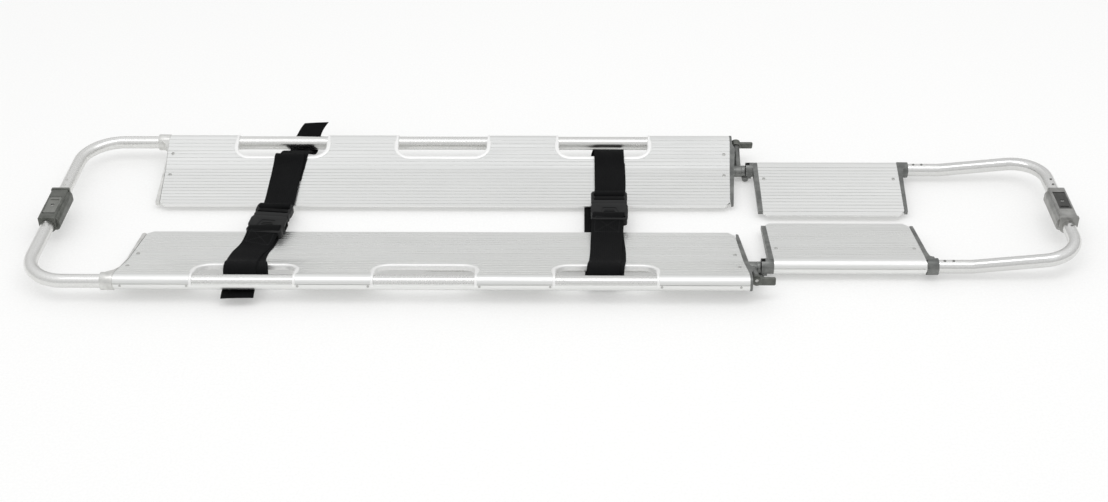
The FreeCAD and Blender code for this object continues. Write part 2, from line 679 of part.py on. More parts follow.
def ring_piece(outer, inner, start, end):
    """A plain ring round the rod's axis."""
    skin = bar(outer, start, end, "dims.leg_y", "dims.rod_z")
    return without(skin, bar(inner, f"{start} - 1", f"{end} + 1", "dims.leg_y", "dims.rod_z"))


def rod_yoke():
    """End of the rod: a round flange with the centre lug of the fold hinge."""
    face = "dims.boss_end + 0.5"
    flange = bar("dims.boss_r", face, "dims.yoke_end", "dims.leg_y", "dims.rod_z")
    sides = [block(("dims.boss_end", "dims.yoke_end + 1"), reach, ("0", "dims.hinge_z + 6.5"))
             for reach in (("dims.leg_y + dims.lug_half", "dims.leg_y + 20"),
                           ("dims.leg_y - 20", "dims.leg_y - dims.lug_half"))]
    span = ("dims.leg_y - dims.lug_half", "dims.leg_y + dims.lug_half")
    lug = block((face, "dims.hinge_x"), span, ("dims.hinge_z", "dims.hinge_z + 7"))
    barrel = bar("dims.barrel_r", *span, z="dims.hinge_z", turn=ALONG_Y, x="dims.hinge_x")
    below = block((face, "dims.hinge_x - dims.barrel_r"), span, ("0", "dims.hinge_z"))
    pin = bar("dims.hinge_pin_r", "dims.leg_y - 20", "dims.leg_y + 20",
              z="dims.hinge_z", turn=ALONG_Y, x="dims.hinge_x")
    return without(joined(without(flange, *sides, below), lug, barrel), pin)


def hinge_pin():
    """Fold hinge pin with a flat head at each side of the ears."""
    def pin(radius, start, end):
        return bar(radius, f"dims.leg_y + {start}", f"dims.leg_y + {end}",
                   z="dims.hinge_z", turn=ALONG_Y, x="dims.hinge_x")
    ears = "(dims.ear_half + 0.3)"
    return joined(pin("dims.hinge_pin_r", f"-{ears} - 1.5", f"{ears} + 1.5"),
                  pin("4", f"-{ears} - 1.9", f"-{ears}"),
                  pin("4", f"{ears}", f"{ears} + 1.9"))


both_sides(rod_piece(), "rod")
both_sides(ring_piece("dims.sleeve_r", "dims.sleeve_bore", "dims.sleeve_head", "dims.sleeve_foot"),
           "rod_sleeve")
both_sides(ring_piece("dims.sleeve_bore", "dims.rod_r + dims.running",
                      "dims.sleeve_foot - dims.bush_length", "dims.sleeve_foot"), "rod_bush")
both_sides(rod_yoke(), "rod_yoke")
both_sides(hinge_pin(), "hinge_pin")


# ---------------------------------------------------------------- length lock

def lock_lever():
    """Hub on the plunger's axis with a paddle that points to the foot."""
    hub = lock_bar("dims.hub_r", "dims.barrel_out + 0.4", "dims.lever_out")
    rim = lock_bar("dims.hub_r - 1.6", "dims.lever_out", "dims.lever_out + 1.2")
    paddle = doc.addObject("Part::Box", "paddle")
    paddle.setExpression("Length", "dims.lever_reach")
    paddle.Width = 13
    paddle.Height = 6.5
    flat = rounded(paddle, 2.4, lambda edge: edge.Length > 6)
    turn = Rotation(Vector(1, 0, 0), size("lock_tilt") - 90)
    out = size("lever_out") - 8.5
    middle = Vector(size("lock_x"), size("leg_y"), size("rod_z"))
    flat.Placement = Placement(middle + turn.multVec(Vector(0, -4.5, out)), turn)
    hole = lock_bar("dims.lock_pin_r + dims.running", "dims.barrel_out", "dims.lever_out + 3")
    return without(joined(hub, rim, flat), hole)


def coil_spring(radius, wire, turns, height):
    """An open coil spring wound up Z from the origin, in half turns that lean by the pitch."""
    rise = height / (2 * turns)
    reach = math.hypot(radius, rise / 2)
    edges = []
    for half in range(2 * turns):
        side = 1 if half % 2 == 0 else -1
        start = Vector(side * radius, 0, half * rise)
        middle = Vector(0, side * reach, (half + 0.5) * rise)
        end = Vector(-side * radius, 0, (half + 1) * rise)
        edges.append(Part.Arc(start, middle, end).toShape())
    ring = Part.Wire(Part.makeCircle(wire / 2, Vector(radius, 0, 0), Vector(0, 1, 0)))
    coil = doc.addObject("Part::Feature", "coil_spring")
    coil.Shape = Part.Wire(edges).makePipeShell([ring], True, False)
    return coil


both_sides(lock_lever(), "lock_lever")
both_sides(lock_bar("dims.lock_pin_r", "dims.lock_tip", "dims.lever_out - 1"), "lock_pin")
both_sides(lock_place(coil_spring(4, 0.7, 5, 22), "17"), "lock_spring")


# ---------------------------------------------------------------- fasteners

def screw_head(x, y, z, tilt, radius, height):
    """A low round head whose axis leans from the vertical, sunk a little into its seat."""
    head = doc.addObject("Part::Cylinder", "head")
    head.Radius = radius
    head.Height = height
    item = rounded(head, height * 0.45, lambda edge: edge.Curve.TypeId == "Part::GeomCircle")
    item.Placement = Placement(Vector(x, y, z), Rotation(Vector(1, 0, 0), tilt))
    return item


def deck_height(inboard):
    """Height of the main deck's top over the floor."""
    crease = size("crease_d")
    if inboard < crease:
        share = (inboard - size("top_d")) / (crease - size("top_d"))
        return size("main_z") + size("top_drop") * (1 - share) - size("crease_drop") * share
    share = (inboard - crease) / (size("edge_d") - crease)
    return size("main_z") - size("crease_drop") * (1 - share) - size("edge_drop") * share


def main_screws():
    """Two screws at each end of the main panel."""
    heads = []
    for x, skew in ((size("main_head") + 9, size("main_head_skew")),
                    (size("main_foot") - 10, -size("main_foot_skew"))):
        for inboard, tilt in ((40, 17), (90, 8.2)):
            place_x = x + skew * inboard / size("edge_d")
            heads.append(screw_head(place_x, size("main_y") - inboard,
                                    deck_height(inboard) - 0.2, tilt, 3.2, 1.5))
    return group(heads)


def leg_screws():
    """One screw at each end of the leg panel."""
    inboard = 40
    slope = (size("leg_top") + size("leg_edge_drop")) / (size("leg_edge_d") - size("leg_top_d"))
    height = size("leg_z") + size("leg_top") - slope * (inboard - size("leg_top_d")) - 0.2
    return group([screw_head(x, size("leg_y") - inboard, height, 8.6, 3.0, 1.5)
                  for x in (size("leg_head") + 8, size("leg_foot") - 11)])


def rail_rivets():
    """Rivets along the outside of the main rail's lower strip."""
    half = size("grip_length") / 2
    places = [size("main_head") + 12, size("main_foot") - 14]
    for step in (-1, 0, 1):
        middle = size("grip_middle") + step * size("grip_pitch")
        places += [middle - half - 7, middle + half + 7]
    reach = size("rail_r") - 0.4
    return [screw_head(x, size("main_y") + reach, size("main_z"), -90, 2.2, 1.4)
            for x in sorted(places)]


def top_rivets(places, height):
    """Rivets on top of a tube whose centre is at a height."""
    lift = size("tube_r") - 0.3
    return [screw_head(x, y, height + lift, 0, 2.2, 1.4) for x, y in places]


def side_rivets(side, sign, rail):
    """Rivets of one side: along its rail, beside its couplers and on its leg rail."""
    steps = (18, 34) if side == "left" else (4, 15)
    reach = [size("shell_half") + step for step in steps]
    head = [(-size("half_length"), size("head_shift") + sign * out) for out in reach]
    foot = [(size("half_length"), size("foot_shift") + sign * out) for out in reach]
    leg = [(size("leg_foot") + out, sign * size("leg_y")) for out in (30, 44)]
    node(group(rail + top_rivets(head, size("main_z"))), f"{side}_main_rivets")
    node(group(top_rivets(foot, size("foot_z")) + top_rivets(leg, size("leg_z"))),
         f"{side}_leg_rivets")


both_sides(main_screws(), "panel_screws")
both_sides(leg_screws(), "leg_screws")
left_rivets = rail_rivets()
side_rivets("left", 1, left_rivets)
side_rivets("right", -1, [twin_of(item) for item in left_rivets])


# ---------------------------------------------------------------- couplers

def coupler(end, x, shift, height, turn):
    """Housing, latch and tongue of one coupler, made with the mouth towards -Y."""
    def put(item, label):
        item.Placement = Placement(Vector(), turn)
        for axis, expression in zip("xyz", (x, shift, height)):
            item.setExpression(f"Placement.Base.{axis}", expression)
        return node(item, f"{end}_{label}")

    def tube(radius, start, stop):
        return bar(radius, start, stop, turn=ALONG_Y)

    along = straight(Vector(0, 1, 0))
    round_skin = tube("dims.shell_r", "-dims.shell_half", "dims.shell_half")
    half = ("-dims.shell_r", "dims.shell_r")
    top_skin = block(half, ("-dims.shell_half", "dims.shell_half"), ("0", "dims.shell_top"))
    ring = tube("dims.shell_r + 1.4", "dims.shell_half - 5", "dims.shell_half")
    ring_top = block(("-dims.shell_r - 1.4", "dims.shell_r + 1.4"),
                     ("dims.shell_half - 5", "dims.shell_half"), ("0", "dims.shell_top + 0.9"))
    cheek = block(("0", "dims.cheek"), ("4 - dims.shell_half", "dims.shell_half - 4"), ("-11", "12"))
    cheek = rounded(cheek, 7, lambda edge: along(edge) and edge.Vertexes[0].X > 1)
    skin = joined(round_skin, top_skin, ring, ring_top, cheek)
    skin = rounded(skin, 2.4, lambda edge: along(edge) and edge.Vertexes[0].Z > 12)
    mouth = tube("dims.mouth_r", "-dims.shell_half - 1", "dims.seat")
    seat = tube("dims.tube_r", "dims.seat - 1", "dims.shell_half + 1")
    pivot = "-6"
    plate = "dims.shell_top - 0.2 - dims.latch_thick"
    recess = block(("-dims.latch_half - 0.3", "dims.latch_half + 0.3"), ("-31.8", "18"),
                   (f"{plate} - 0.2", "dims.shell_top + 5"))
    window = block(("-5.5", "5.5"), ("-31.8", "-18"), ("5", "dims.shell_top"))
    swing = block(("-dims.latch_half - 0.3", "dims.latch_half + 0.3"), ("-31.8", "-4"),
                  ("8.4", "dims.shell_top"))
    middle = "dims.shell_top - 2"
    pin_hole = bar("dims.latch_pin_r", "-12.5", "12.5", pivot, middle)
    put(without(skin, mouth, seat, recess, window, swing, pin_hole), "coupler_housing")

    slab = block(("-dims.latch_half", "dims.latch_half"), ("-29.5", "17"),
                 (plate, "dims.shell_top - 0.2"))
    upright = straight(Vector(0, 0, 1))
    slab = rounded(slab, 2.5, upright)
    hook = block(("-5", "5"), ("-27", "-22"), ("dims.mouth_r - 1.1", "dims.shell_top - 1"))
    grip = block(("-7", "7"), ("9", "11.5"), ("dims.shell_top - 1", "dims.shell_top + 0.6"))
    slot = block(("-3", "3"), ("-8.6", "-3.4"), ("5", "dims.shell_top + 2"))
    eye = bar("dims.latch_pin_r + dims.running", "-14", "14", pivot, middle)
    put(without(joined(slab, hook, grip), slot, eye), "latch_plate")
    put(group([bar("dims.latch_pin_r", "-12.5", "12.5", pivot, middle)]), "latch_pin")

    coil = coil_spring(1.75, 0.4, 5, 4.6)
    coil.Placement = Placement(Vector(-2.3, -6, size("shell_top") - 2), ALONG_X)
    put(group([coil]), "latch_spring")

    stem = tube("dims.tongue_r", "-dims.entry - 44", "dims.seat - 5")
    nose = rounded(stem, 3, lambda edge: edge.Vertexes[0].Y > 10)
    notch = block(("-12", "12"), ("-31.5", "-19"), ("6.4", "14"))
    put(without(nose, notch), "coupler_tongue")


coupler("head", "-dims.half_length", "dims.head_shift", "dims.main_z", PLAN)
coupler("foot", "dims.half_length", "dims.foot_shift", "dims.foot_z",
        Rotation(Vector(0, 0, 1), 180))


# ---------------------------------------------------------------- straps

def turned(slant):
    """A turn about the vertical that takes the strap's far end towards the foot."""
    return Rotation(Vector(0, 0, 1), -slant)


def webbing(points, x, mouth, slant, label):
    """Flat webbing along a route of heights across the stretcher, turned about the buckle."""
    wire = Part.makePolygon([Vector(0, y, z) for y, z in points])
    edge = wire.makeOffset2D(size("strap_thick") / 2, 0, False, False, True)
    strap = doc.addObject("Part::Feature", "webbing")
    strap.Shape = Part.Face(edge).extrude(Vector(size("webbing"), 0, 0))
    middle = Placement(Vector(-size("webbing") / 2, -mouth, 0), Rotation())
    strap.Placement = Placement(Vector(x, mouth, 0), turned(slant)) * middle
    return node(strap, label)


def deck_route(side, start, level):
    """From the buckle over the deck and down into the handhold."""
    rail = size("main_y")
    lift = size("strap_thick") / 2 + 0.5
    edge = rail - size("edge_d")
    points = [(start, level)]
    if side * start < edge - 8:
        points.append((side * (edge - 4), max(level, deck_height(size("edge_d")) + lift)))
    return points + [
        (side * (rail - size("crease_d")), deck_height(size("crease_d")) + lift + 0.6),
        (side * (rail - size("grip_d") - 5), deck_height(size("grip_d") + 5) + lift + 2.9),
        (side * (rail - size("grip_d") + 5), deck_height(size("grip_d")) + lift + 2.5),
        (side * (rail - 25), size("main_z") + 2),
    ]


def rail_route(side, tail):
    """On under the rail, to a tail that ends beyond the rail's centre."""
    rail = size("main_y")
    under = size("main_z") - size("rail_r") - size("strap_thick") / 2 - 1.3
    return [(side * (rail - 18), under + 2), (side * (rail - 10), under),
            (side * (rail + tail), under - 0.5)]


def return_route(side, reach):
    """On under the deck and the rod's sleeve, back past the middle of the stretcher."""
    rail = size("main_y")
    low = size("rod_z") - size("sleeve_r") - size("strap_thick") / 2 - 0.8
    return [(side * (rail - 20), size("rod_z") + 5), (side * (rail - 28), low + 4),
            (side * (rail - 38), low), (side * reach, low)]


def female_buckle(x, mouth, level, slant, label):
    """Socket half of a side-release buckle, its mouth towards +Y at the given line."""
    width = size("buckle_width") / 2
    thick = size("buckle_thick")
    length = 52
    skin = Part.makeBox(2 * width, length, thick, Vector(-width, -length, 0))
    rounding = [edge for edge in skin.Edges if edge.Length < thick + 0.1]
    skin = skin.makeFillet(9, rounding)
    cavity = Part.makeBox(2 * width - 9, 40, thick - 5, Vector(4.5 - width, -36, 2.5))
    slot = Part.makeBox(size("webbing") + 2, 4, thick + 2, Vector(-size("webbing") / 2 - 1, -46, -1))
    windows = [Part.makeBox(6, 18, thick - 5, Vector(at_x, -28, 2.5))
               for at_x in (-width - 1, width - 5)]
    shape = skin.cut(cavity).cut(slot)
    for window in windows:
        shape = shape.cut(window)
    buckle = doc.addObject("Part::Feature", "buckle")
    buckle.Shape = shape.removeSplitter()
    buckle.Placement = Placement(Vector(x, mouth, level), turned(slant))
    return node(buckle, label)


def male_buckle(x, mouth, level, slant, label):
    """Plug half: a frame with two webbing slots and three prongs that enter the socket."""
    width = size("buckle_width") / 2
    thick = size("buckle_thick")
    frame = Part.makeBox(2 * width, 38, thick - 1, Vector(-width, 0.6, 0.5))
    frame = frame.makeFillet(7, [edge for edge in frame.Edges if edge.Length < thick])
    room = size("webbing") + 2
    shape = frame
    for start in (12, 24):
        shape = shape.cut(Part.makeBox(room, 5, thick + 2, Vector(-room / 2, start, -1)))
    for at_x, wide in ((-width + 6.5, 7), (-4, 8), (width - 13.5, 7)):
        prong = Part.makeBox(wide, 26, thick - 6.5, Vector(at_x, -24, 3.25))
        shape = shape.fuse(prong)
    buckle = doc.addObject("Part::Feature", "buckle")
    buckle.Shape = shape.removeSplitter()
    buckle.Placement = Placement(Vector(x, mouth, level), turned(slant))
    return node(buckle, label)


for name, mouth, slant, ends in (
    ("chest", -6, size("chest_slant"), (rail_route(-1, 17), rail_route(1, 27))),
    ("hip", 30, 0, (return_route(-1, -48), return_route(1, 78))),
):
    x = size(f"{name}_x")
    level = size(f"{name}_buckle_z")
    female_buckle(x, mouth, level, slant, f"{name}_buckle_socket")
    male_buckle(x, mouth, level, slant, f"{name}_buckle_plug")
    for side, start, end, label in ((-1, mouth - 54, ends[0], "right"),
                                    (1, mouth + 43, ends[1], "left")):
        route = deck_route(side, start, level + 3) + end
        webbing(route, x, mouth, slant, f"{name}_strap_{label}")


# ---------------------------------------------------------------- checks and export

doc.recompute()
for item in doc.Objects:
    if "Invalid" in item.State or "Error" in item.State:
        raise RuntimeError(f"{item.Name} ({item.Label}) did not build: {item.State}")
for item in nodes:
    if item.Shape.isNull() or not item.Shape.isValid():
        raise RuntimeError(f"{item.Label} has no valid shape")

os.makedirs("parts", exist_ok=True)
for item in nodes:
    item.Shape.exportStep(f"parts/{item.Label}.step")
print(len(nodes), "sub-parts")
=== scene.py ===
"""Looks of a folding scoop stretcher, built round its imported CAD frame."""
import math
import random

import bmesh
import bpy
import numpy as np
from mathutils import Matrix, Vector


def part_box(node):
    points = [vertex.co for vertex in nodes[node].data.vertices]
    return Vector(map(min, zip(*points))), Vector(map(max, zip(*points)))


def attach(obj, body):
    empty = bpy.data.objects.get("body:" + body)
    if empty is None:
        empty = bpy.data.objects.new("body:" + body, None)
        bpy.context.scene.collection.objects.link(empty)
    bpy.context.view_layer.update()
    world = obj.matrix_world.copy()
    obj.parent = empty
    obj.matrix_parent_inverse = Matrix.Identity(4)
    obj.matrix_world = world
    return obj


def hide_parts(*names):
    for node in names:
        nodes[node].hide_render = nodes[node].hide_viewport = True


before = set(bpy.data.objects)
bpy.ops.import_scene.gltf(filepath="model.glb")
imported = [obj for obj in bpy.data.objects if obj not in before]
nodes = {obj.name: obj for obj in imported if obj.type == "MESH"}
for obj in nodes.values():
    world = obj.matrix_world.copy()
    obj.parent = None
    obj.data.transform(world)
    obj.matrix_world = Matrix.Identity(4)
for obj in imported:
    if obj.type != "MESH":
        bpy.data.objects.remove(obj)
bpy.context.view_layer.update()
MM = 0.001
SIDES = {"left": 1, "right": -1}
random.seed(7)


# ---------------------------------------------------------------- shader nodes

class Shader:
    """A new material and short ways to add nodes to it."""

    def __init__(self, name, **constants):
        self.material = bpy.data.materials.new(name)
        self.material.use_nodes = True
        self.tree = self.material.node_tree
        self.surface = self.tree.nodes["Principled BSDF"]
        for socket, value in constants.items():
            self.surface.inputs[socket.replace("_", " ")].default_value = value

    def add(self, kind, inputs=(), **settings):
        """A node with its settings; inputs are (socket, value or another socket)."""
        made = self.tree.nodes.new("ShaderNode" + kind)
        for key, value in settings.items():
            setattr(made, key, value)
        for socket, value in inputs:
            if isinstance(value, bpy.types.NodeSocket):
                self.tree.links.new(value, made.inputs[socket])
            else:
                made.inputs[socket].default_value = value
        return made

    def math(self, operation, first, second=0.0):
        """The result of a Math node on two numbers or sockets."""
        return self.add("Math", [(0, first), (1, second)], operation=operation).outputs[0]

    def place(self, scale, source="Object"):
        """Object coordinates, or UVs, in metres times a scale along each axis."""
        coordinates = self.add("TexCoord").outputs[source]
        return self.add("Mapping", [("Vector", coordinates), ("Scale", scale)]).outputs[0]

    def noise(self, scale, detail=2.0, roughness=0.5, source="Object"):
        """Noise from 0 to 1, with its scale per metre along each axis."""
        inputs = [("Vector", self.place(scale, source)), ("Scale", 1.0), ("Detail", detail),
                  ("Roughness", roughness)]
        return self.add("TexNoise", inputs).outputs["Fac"]

    def between(self, factor, low, high, start=0.3, end=0.7):
        """A number that goes from low to high as the factor goes from start to end."""
        inputs = [("Value", factor), ("From Min", start), ("From Max", end),
                  ("To Min", low), ("To Max", high)]
        return self.add("MapRange", inputs).outputs["Result"]

    def blend(self, factor, first, second):
        """Two colours, or colour sockets, mixed."""
        made = self.add("Mix", [(0, factor)], data_type="RGBA", blend_type="MIX")
        for socket, value in ((made.inputs[6], first), (made.inputs[7], second)):
            if isinstance(value, bpy.types.NodeSocket):
                self.tree.links.new(value, socket)
            else:
                socket.default_value = (*value, 1.0)
        return made.outputs[2]

    def bump(self, height, distance, strength=1.0, under=None):
        """A normal from a height, laid over another normal where one is given."""
        inputs = [("Height", height), ("Distance", distance), ("Strength", strength)]
        if under is not None:
            inputs.append(("Normal", under))
        return self.add("Bump", inputs).outputs["Normal"]

    def finish(self, **links):
        """Joins sockets to the surface's inputs and gives the material."""
        for socket, value in links.items():
            self.tree.links.new(value, self.surface.inputs[socket.replace("_", " ")])
        return self.material


def metal(name, light, dark, rough, grain, smudge=6.0, depth=0.02, metallic=1.0, scratch=0.0):
    """Metal with a fine grain, faint handling marks and, where asked, lengthwise scratches."""
    shader = Shader(name, Metallic=metallic)
    fine = shader.noise(grain, 4.0, 0.6)
    marks = shader.noise((smudge, smudge, smudge), 5.0, 0.62)
    colour = shader.blend(shader.between(fine, 0.0, 1.0), dark, light)
    colour = shader.blend(shader.between(marks, 0.0, 0.22, 0.45, 0.75), colour, dark)
    roughness = shader.between(fine, rough[0], rough[1])
    roughness = shader.math("ADD", roughness, shader.between(marks, -0.03, 0.07, 0.35, 0.7))
    normal = shader.bump(fine, depth * MM)
    if scratch:
        lines = shader.noise((5.0, 1900.0, 1900.0), 2.0, 0.4)
        cut = shader.between(lines, 0.0, scratch, 0.64, 0.7)
        colour = shader.blend(cut, colour, tuple(c * 0.6 for c in dark))
        roughness = shader.math("ADD", roughness, shader.math("MULTIPLY", cut, 0.15))
    return shader.finish(Base_Color=colour, Roughness=roughness, Normal=normal)


def cast(name, light, dark, rough, metallic, worn):
    """Die-cast alloy: sandy grain, small pits and edges rubbed bright."""
    shader = Shader(name, Metallic=metallic)
    sand = shader.noise((1500.0, 1500.0, 1500.0), 3.0, 0.65)
    cloud = shader.noise((45.0, 45.0, 45.0), 4.0, 0.6)
    pits = shader.add("TexVoronoi", [("Vector", shader.place((420.0, 420.0, 420.0))),
                                     ("Scale", 1.0)]).outputs["Distance"]
    colour = shader.blend(shader.between(cloud, 0.0, 1.0, 0.35, 0.65), dark, light)
    colour = shader.blend(shader.between(sand, 0.0, 0.35), colour, dark)
    soft = shader.add("Bevel", [("Radius", 0.0009)], samples=4).outputs["Normal"]
    hard = shader.add("NewGeometry").outputs["Normal"]
    facing = shader.add("VectorMath", [(0, soft), (1, hard)],
                        operation="DOT_PRODUCT").outputs["Value"]
    rubbed = shader.between(facing, 1.0, 0.0, 0.72, 0.985)
    rubbed = shader.math("MULTIPLY", rubbed, shader.between(cloud, 0.15, 0.9, 0.4, 0.6))
    colour = shader.blend(rubbed, colour, worn)
    roughness = shader.between(sand, rough[0], rough[1])
    roughness = shader.math("SUBTRACT", roughness, shader.math("MULTIPLY", rubbed, 0.18))
    normal = shader.bump(sand, 0.05 * MM)
    normal = shader.bump(shader.between(pits, 0.0, 1.0, 0.0, 0.3), 0.06 * MM, 0.6, normal)
    return shader.finish(Base_Color=colour, Roughness=roughness, Normal=normal)


def moulded(name, light, dark, rough):
    """Moulded plastic with a fine spark-eroded texture and faint flow marks."""
    shader = Shader(name, Metallic=0.0, IOR=1.47, Specular_IOR_Level=0.26)
    spark = shader.noise((2600.0, 2600.0, 2600.0), 3.0, 0.6)
    flow = shader.noise((60.0, 22.0, 60.0), 4.0, 0.6)
    colour = shader.blend(shader.between(flow, 0.0, 1.0, 0.35, 0.65), dark, light)
    roughness = shader.math("ADD", shader.between(spark, rough[0], rough[1]),
                            shader.between(flow, -0.04, 0.06))
    return shader.finish(Base_Color=colour, Roughness=roughness,
                         Normal=shader.bump(spark, 0.03 * MM))


def woven(name, light, dark):
    """Polyester webbing: staggered warp yarns over fine weft, on UVs in metres."""
    warp, weft = 1.9 * MM, 1.25 * MM
    shader = Shader(name, Metallic=0.0, Specular_IOR_Level=0.1)
    split = shader.add("SeparateXYZ", [(0, shader.add("TexCoord").outputs["UV"])])
    across, along = split.outputs[0], split.outputs[1]
    column = shader.math("DIVIDE", across, warp)
    stagger = shader.math("MULTIPLY", shader.math("FLOOR", column), 0.5)
    row = shader.math("ADD", shader.math("DIVIDE", along, weft), stagger)
    yarn = shader.math("ABSOLUTE", shader.math("SINE", shader.math("MULTIPLY", column, math.pi)))
    over = shader.math("ABSOLUTE", shader.math("SINE", shader.math("MULTIPLY", row, math.pi)))
    height = shader.math("MULTIPLY", shader.math("POWER", yarn, 0.6), over)
    fuzz = shader.noise((900.0, 5200.0, 1.0), 3.0, 0.7, "UV")
    fade = shader.noise((35.0, 14.0, 1.0), 4.0, 0.6, "UV")
    # Colour follows the weave's height, the hollows between the yarns darker: painted shade.
    colour = shader.blend(height, dark, light)
    colour = shader.blend(shader.between(fade, 0.0, 0.5), colour, tuple(c * 1.5 for c in light))
    roughness = shader.between(fuzz, 0.62, 0.86)
    normal = shader.bump(height, 0.3 * MM)
    normal = shader.bump(fuzz, 0.08 * MM, 0.7, normal)
    return shader.finish(Base_Color=colour, Roughness=roughness, Normal=normal)


LOOKS = {
    "tube": metal("frame_tube_satin", (0.80, 0.80, 0.785), (0.70, 0.70, 0.685), (0.25, 0.285),
                  (420.0, 420.0, 420.0), depth=0.0025),
    "polished": metal("frame_tube_polished", (0.76, 0.76, 0.75), (0.66, 0.66, 0.65),
                      (0.17, 0.21), (420.0, 420.0, 420.0), depth=0.002),
    "deck": metal("drawn_aluminium", (0.88, 0.885, 0.875), (0.76, 0.765, 0.75), (0.30, 0.42),
                  (3.0, 1100.0, 1100.0), depth=0.03, scratch=0.35),
    "lip": metal("bright_edging", (0.93, 0.93, 0.92), (0.87, 0.87, 0.86), (0.36, 0.46),
                 (300.0, 300.0, 300.0), depth=0.002, metallic=0.5),
    "pale_cast": cast("cast_alloy_pale", (0.82, 0.82, 0.80), (0.60, 0.60, 0.58), (0.34, 0.5),
                      0.95, (0.86, 0.86, 0.85)),
    "mid_cast": cast("cast_alloy_grey", (0.44, 0.44, 0.425), (0.28, 0.28, 0.27), (0.36, 0.52),
                     0.85, (0.62, 0.62, 0.61)),
    "cast": cast("cast_alloy", (0.27, 0.275, 0.265), (0.14, 0.145, 0.14), (0.34, 0.52), 0.85,
                 (0.62, 0.63, 0.62)),
    "dark_cast": cast("dark_casting", (0.17, 0.175, 0.16), (0.09, 0.095, 0.085), (0.36, 0.52),
                      0.7, (0.45, 0.46, 0.44)),
    "plate": metal("latch_steel", (0.30, 0.305, 0.285), (0.17, 0.175, 0.16), (0.30, 0.42),
                   (900.0, 40.0, 900.0), smudge=45.0, depth=0.02, metallic=0.85),
    "dark_plate": metal("latch_steel_dark", (0.10, 0.10, 0.095), (0.055, 0.055, 0.052),
                        (0.30, 0.42), (900.0, 40.0, 900.0), smudge=45.0, depth=0.02,
                        metallic=0.85),
    "steel": metal("zinc_steel", (0.62, 0.62, 0.60), (0.45, 0.45, 0.44), (0.28, 0.42),
                   (700.0, 700.0, 700.0), smudge=60.0),
    # Leg rivets: steel darkened as painted shade, for the shadow in their recesses.
    "rivet": metal("rivet_steel_painted_shade", (0.22, 0.22, 0.21), (0.13, 0.13, 0.125), (0.34, 0.48),
                   (700.0, 700.0, 700.0), smudge=60.0),
    "bush": moulded("bush_plastic", (0.09, 0.09, 0.09), (0.05, 0.05, 0.05), (0.4, 0.55)),
    "buckle": moulded("buckle_plastic", (0.0075, 0.0078, 0.008), (0.0045, 0.0047, 0.005),
                      (0.42, 0.56)),
    "web": woven("black_webbing", (0.0050, 0.0053, 0.0056), (0.0015, 0.0015, 0.0017)),
    "thread": moulded("sewing_thread", (0.016, 0.017, 0.018), (0.01, 0.01, 0.011), (0.5, 0.7)),
}

# The first key that a node's name holds gives its look, so the narrow keys come first.
NODE_LOOKS = (
    ("head_casting", "pale_cast"), ("foot_coupler_housing", "mid_cast"),
    ("coupler_housing", "dark_cast"), ("foot_latch_plate", "dark_plate"),
    ("latch_plate", "plate"), ("latch_", "steel"), ("foot_loop", "polished"),
    ("coupler_tongue", "tube"), ("lock_lever", "dark_cast"), ("lock_", "steel"),
    ("hinge_pin", "cast"), ("casting", "cast"), ("rod_yoke", "cast"), ("rod_bush", "bush"),
    ("rod", "tube"), ("screws", "steel"), ("rivets", "steel"), ("panel", "deck"),
    ("beads", "lip"), ("tube", "tube"), ("strap", "web"), ("buckle", "buckle"),
)


def dress_frame():
    """Gives every CAD node its material, by the first key that its name holds."""
    for name, item in nodes.items():
        look = next(look for key, look in NODE_LOOKS if key in name)
        item.data.materials.clear()
        item.data.materials.append(LOOKS[look])


SOFTENED = ("casting", "coupler_housing", "rod_yoke")
CAST_ROUND = 0.5


def soften(name):
    """Rounds a casting's sharp edges a little, by modifiers, so its own mesh stays."""
    item = nodes[name]
    weld = item.modifiers.new("weld", "WELD")
    weld.merge_threshold = 0.01 * MM
    bevel = item.modifiers.new("round", "BEVEL")
    bevel.width = CAST_ROUND * MM
    bevel.segments = 2
    bevel.limit_method = "ANGLE"
    bevel.angle_limit = math.radians(38)
    bevel.use_clamp_overlap = True
    bevel.harden_normals = True


# ---------------------------------------------------------------- mesh helpers

def piece(name, mesh, look, body, smooth=40.0):
    """A finished mesh as an object that rides on a body."""
    mesh.materials.append(LOOKS[look])
    item = bpy.data.objects.new(name, mesh)
    bpy.context.scene.collection.objects.link(item)
    mesh.shade_smooth()
    mesh.set_sharp_from_angle(angle=math.radians(smooth))
    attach(item, body)
    return item


def islands(name):
    """The separate solids of a CAD node, as arrays of points in metres."""
    data = bmesh.new()
    data.from_mesh(nodes[name].data)
    bmesh.ops.remove_doubles(data, verts=data.verts, dist=0.02 * MM)
    found, seen = [], set()
    for start in data.verts:
        if start in seen:
            continue
        seen.add(start)
        stack, points = [start], []
        while stack:
            vertex = stack.pop()
            points.append(tuple(vertex.co))
            for edge in vertex.link_edges:
                other = edge.other_vert(vertex)
                if other not in seen:
                    seen.add(other)
                    stack.append(other)
        found.append(np.array(points))
    data.free()
    return found


def skin(rings):
    """Vertices and faces of a tube through rings of points, with its two ends capped."""
    count = len(rings[0])
    points = [point for ring in rings for point in ring]
    faces = []
    for k in range(len(rings) - 1):
        low, high = k * count, (k + 1) * count
        for j in range(count):
            nxt = (j + 1) % count
            faces.append((low + j, low + nxt, high + nxt, high + j))
    faces.append(tuple(range(count - 1, -1, -1)))
    faces.append(tuple(range((len(rings) - 1) * count, len(rings) * count)))
    return points, faces


def mesh_of(name, points, faces):
    """A mesh from points and faces, its faces turned outward."""
    mesh = bpy.data.meshes.new(name)
    mesh.from_pydata(points, [], faces)
    mesh.validate()
    data = bmesh.new()
    data.from_mesh(mesh)
    bmesh.ops.recalc_face_normals(data, faces=data.faces)
    data.to_mesh(mesh)
    data.free()
    return mesh


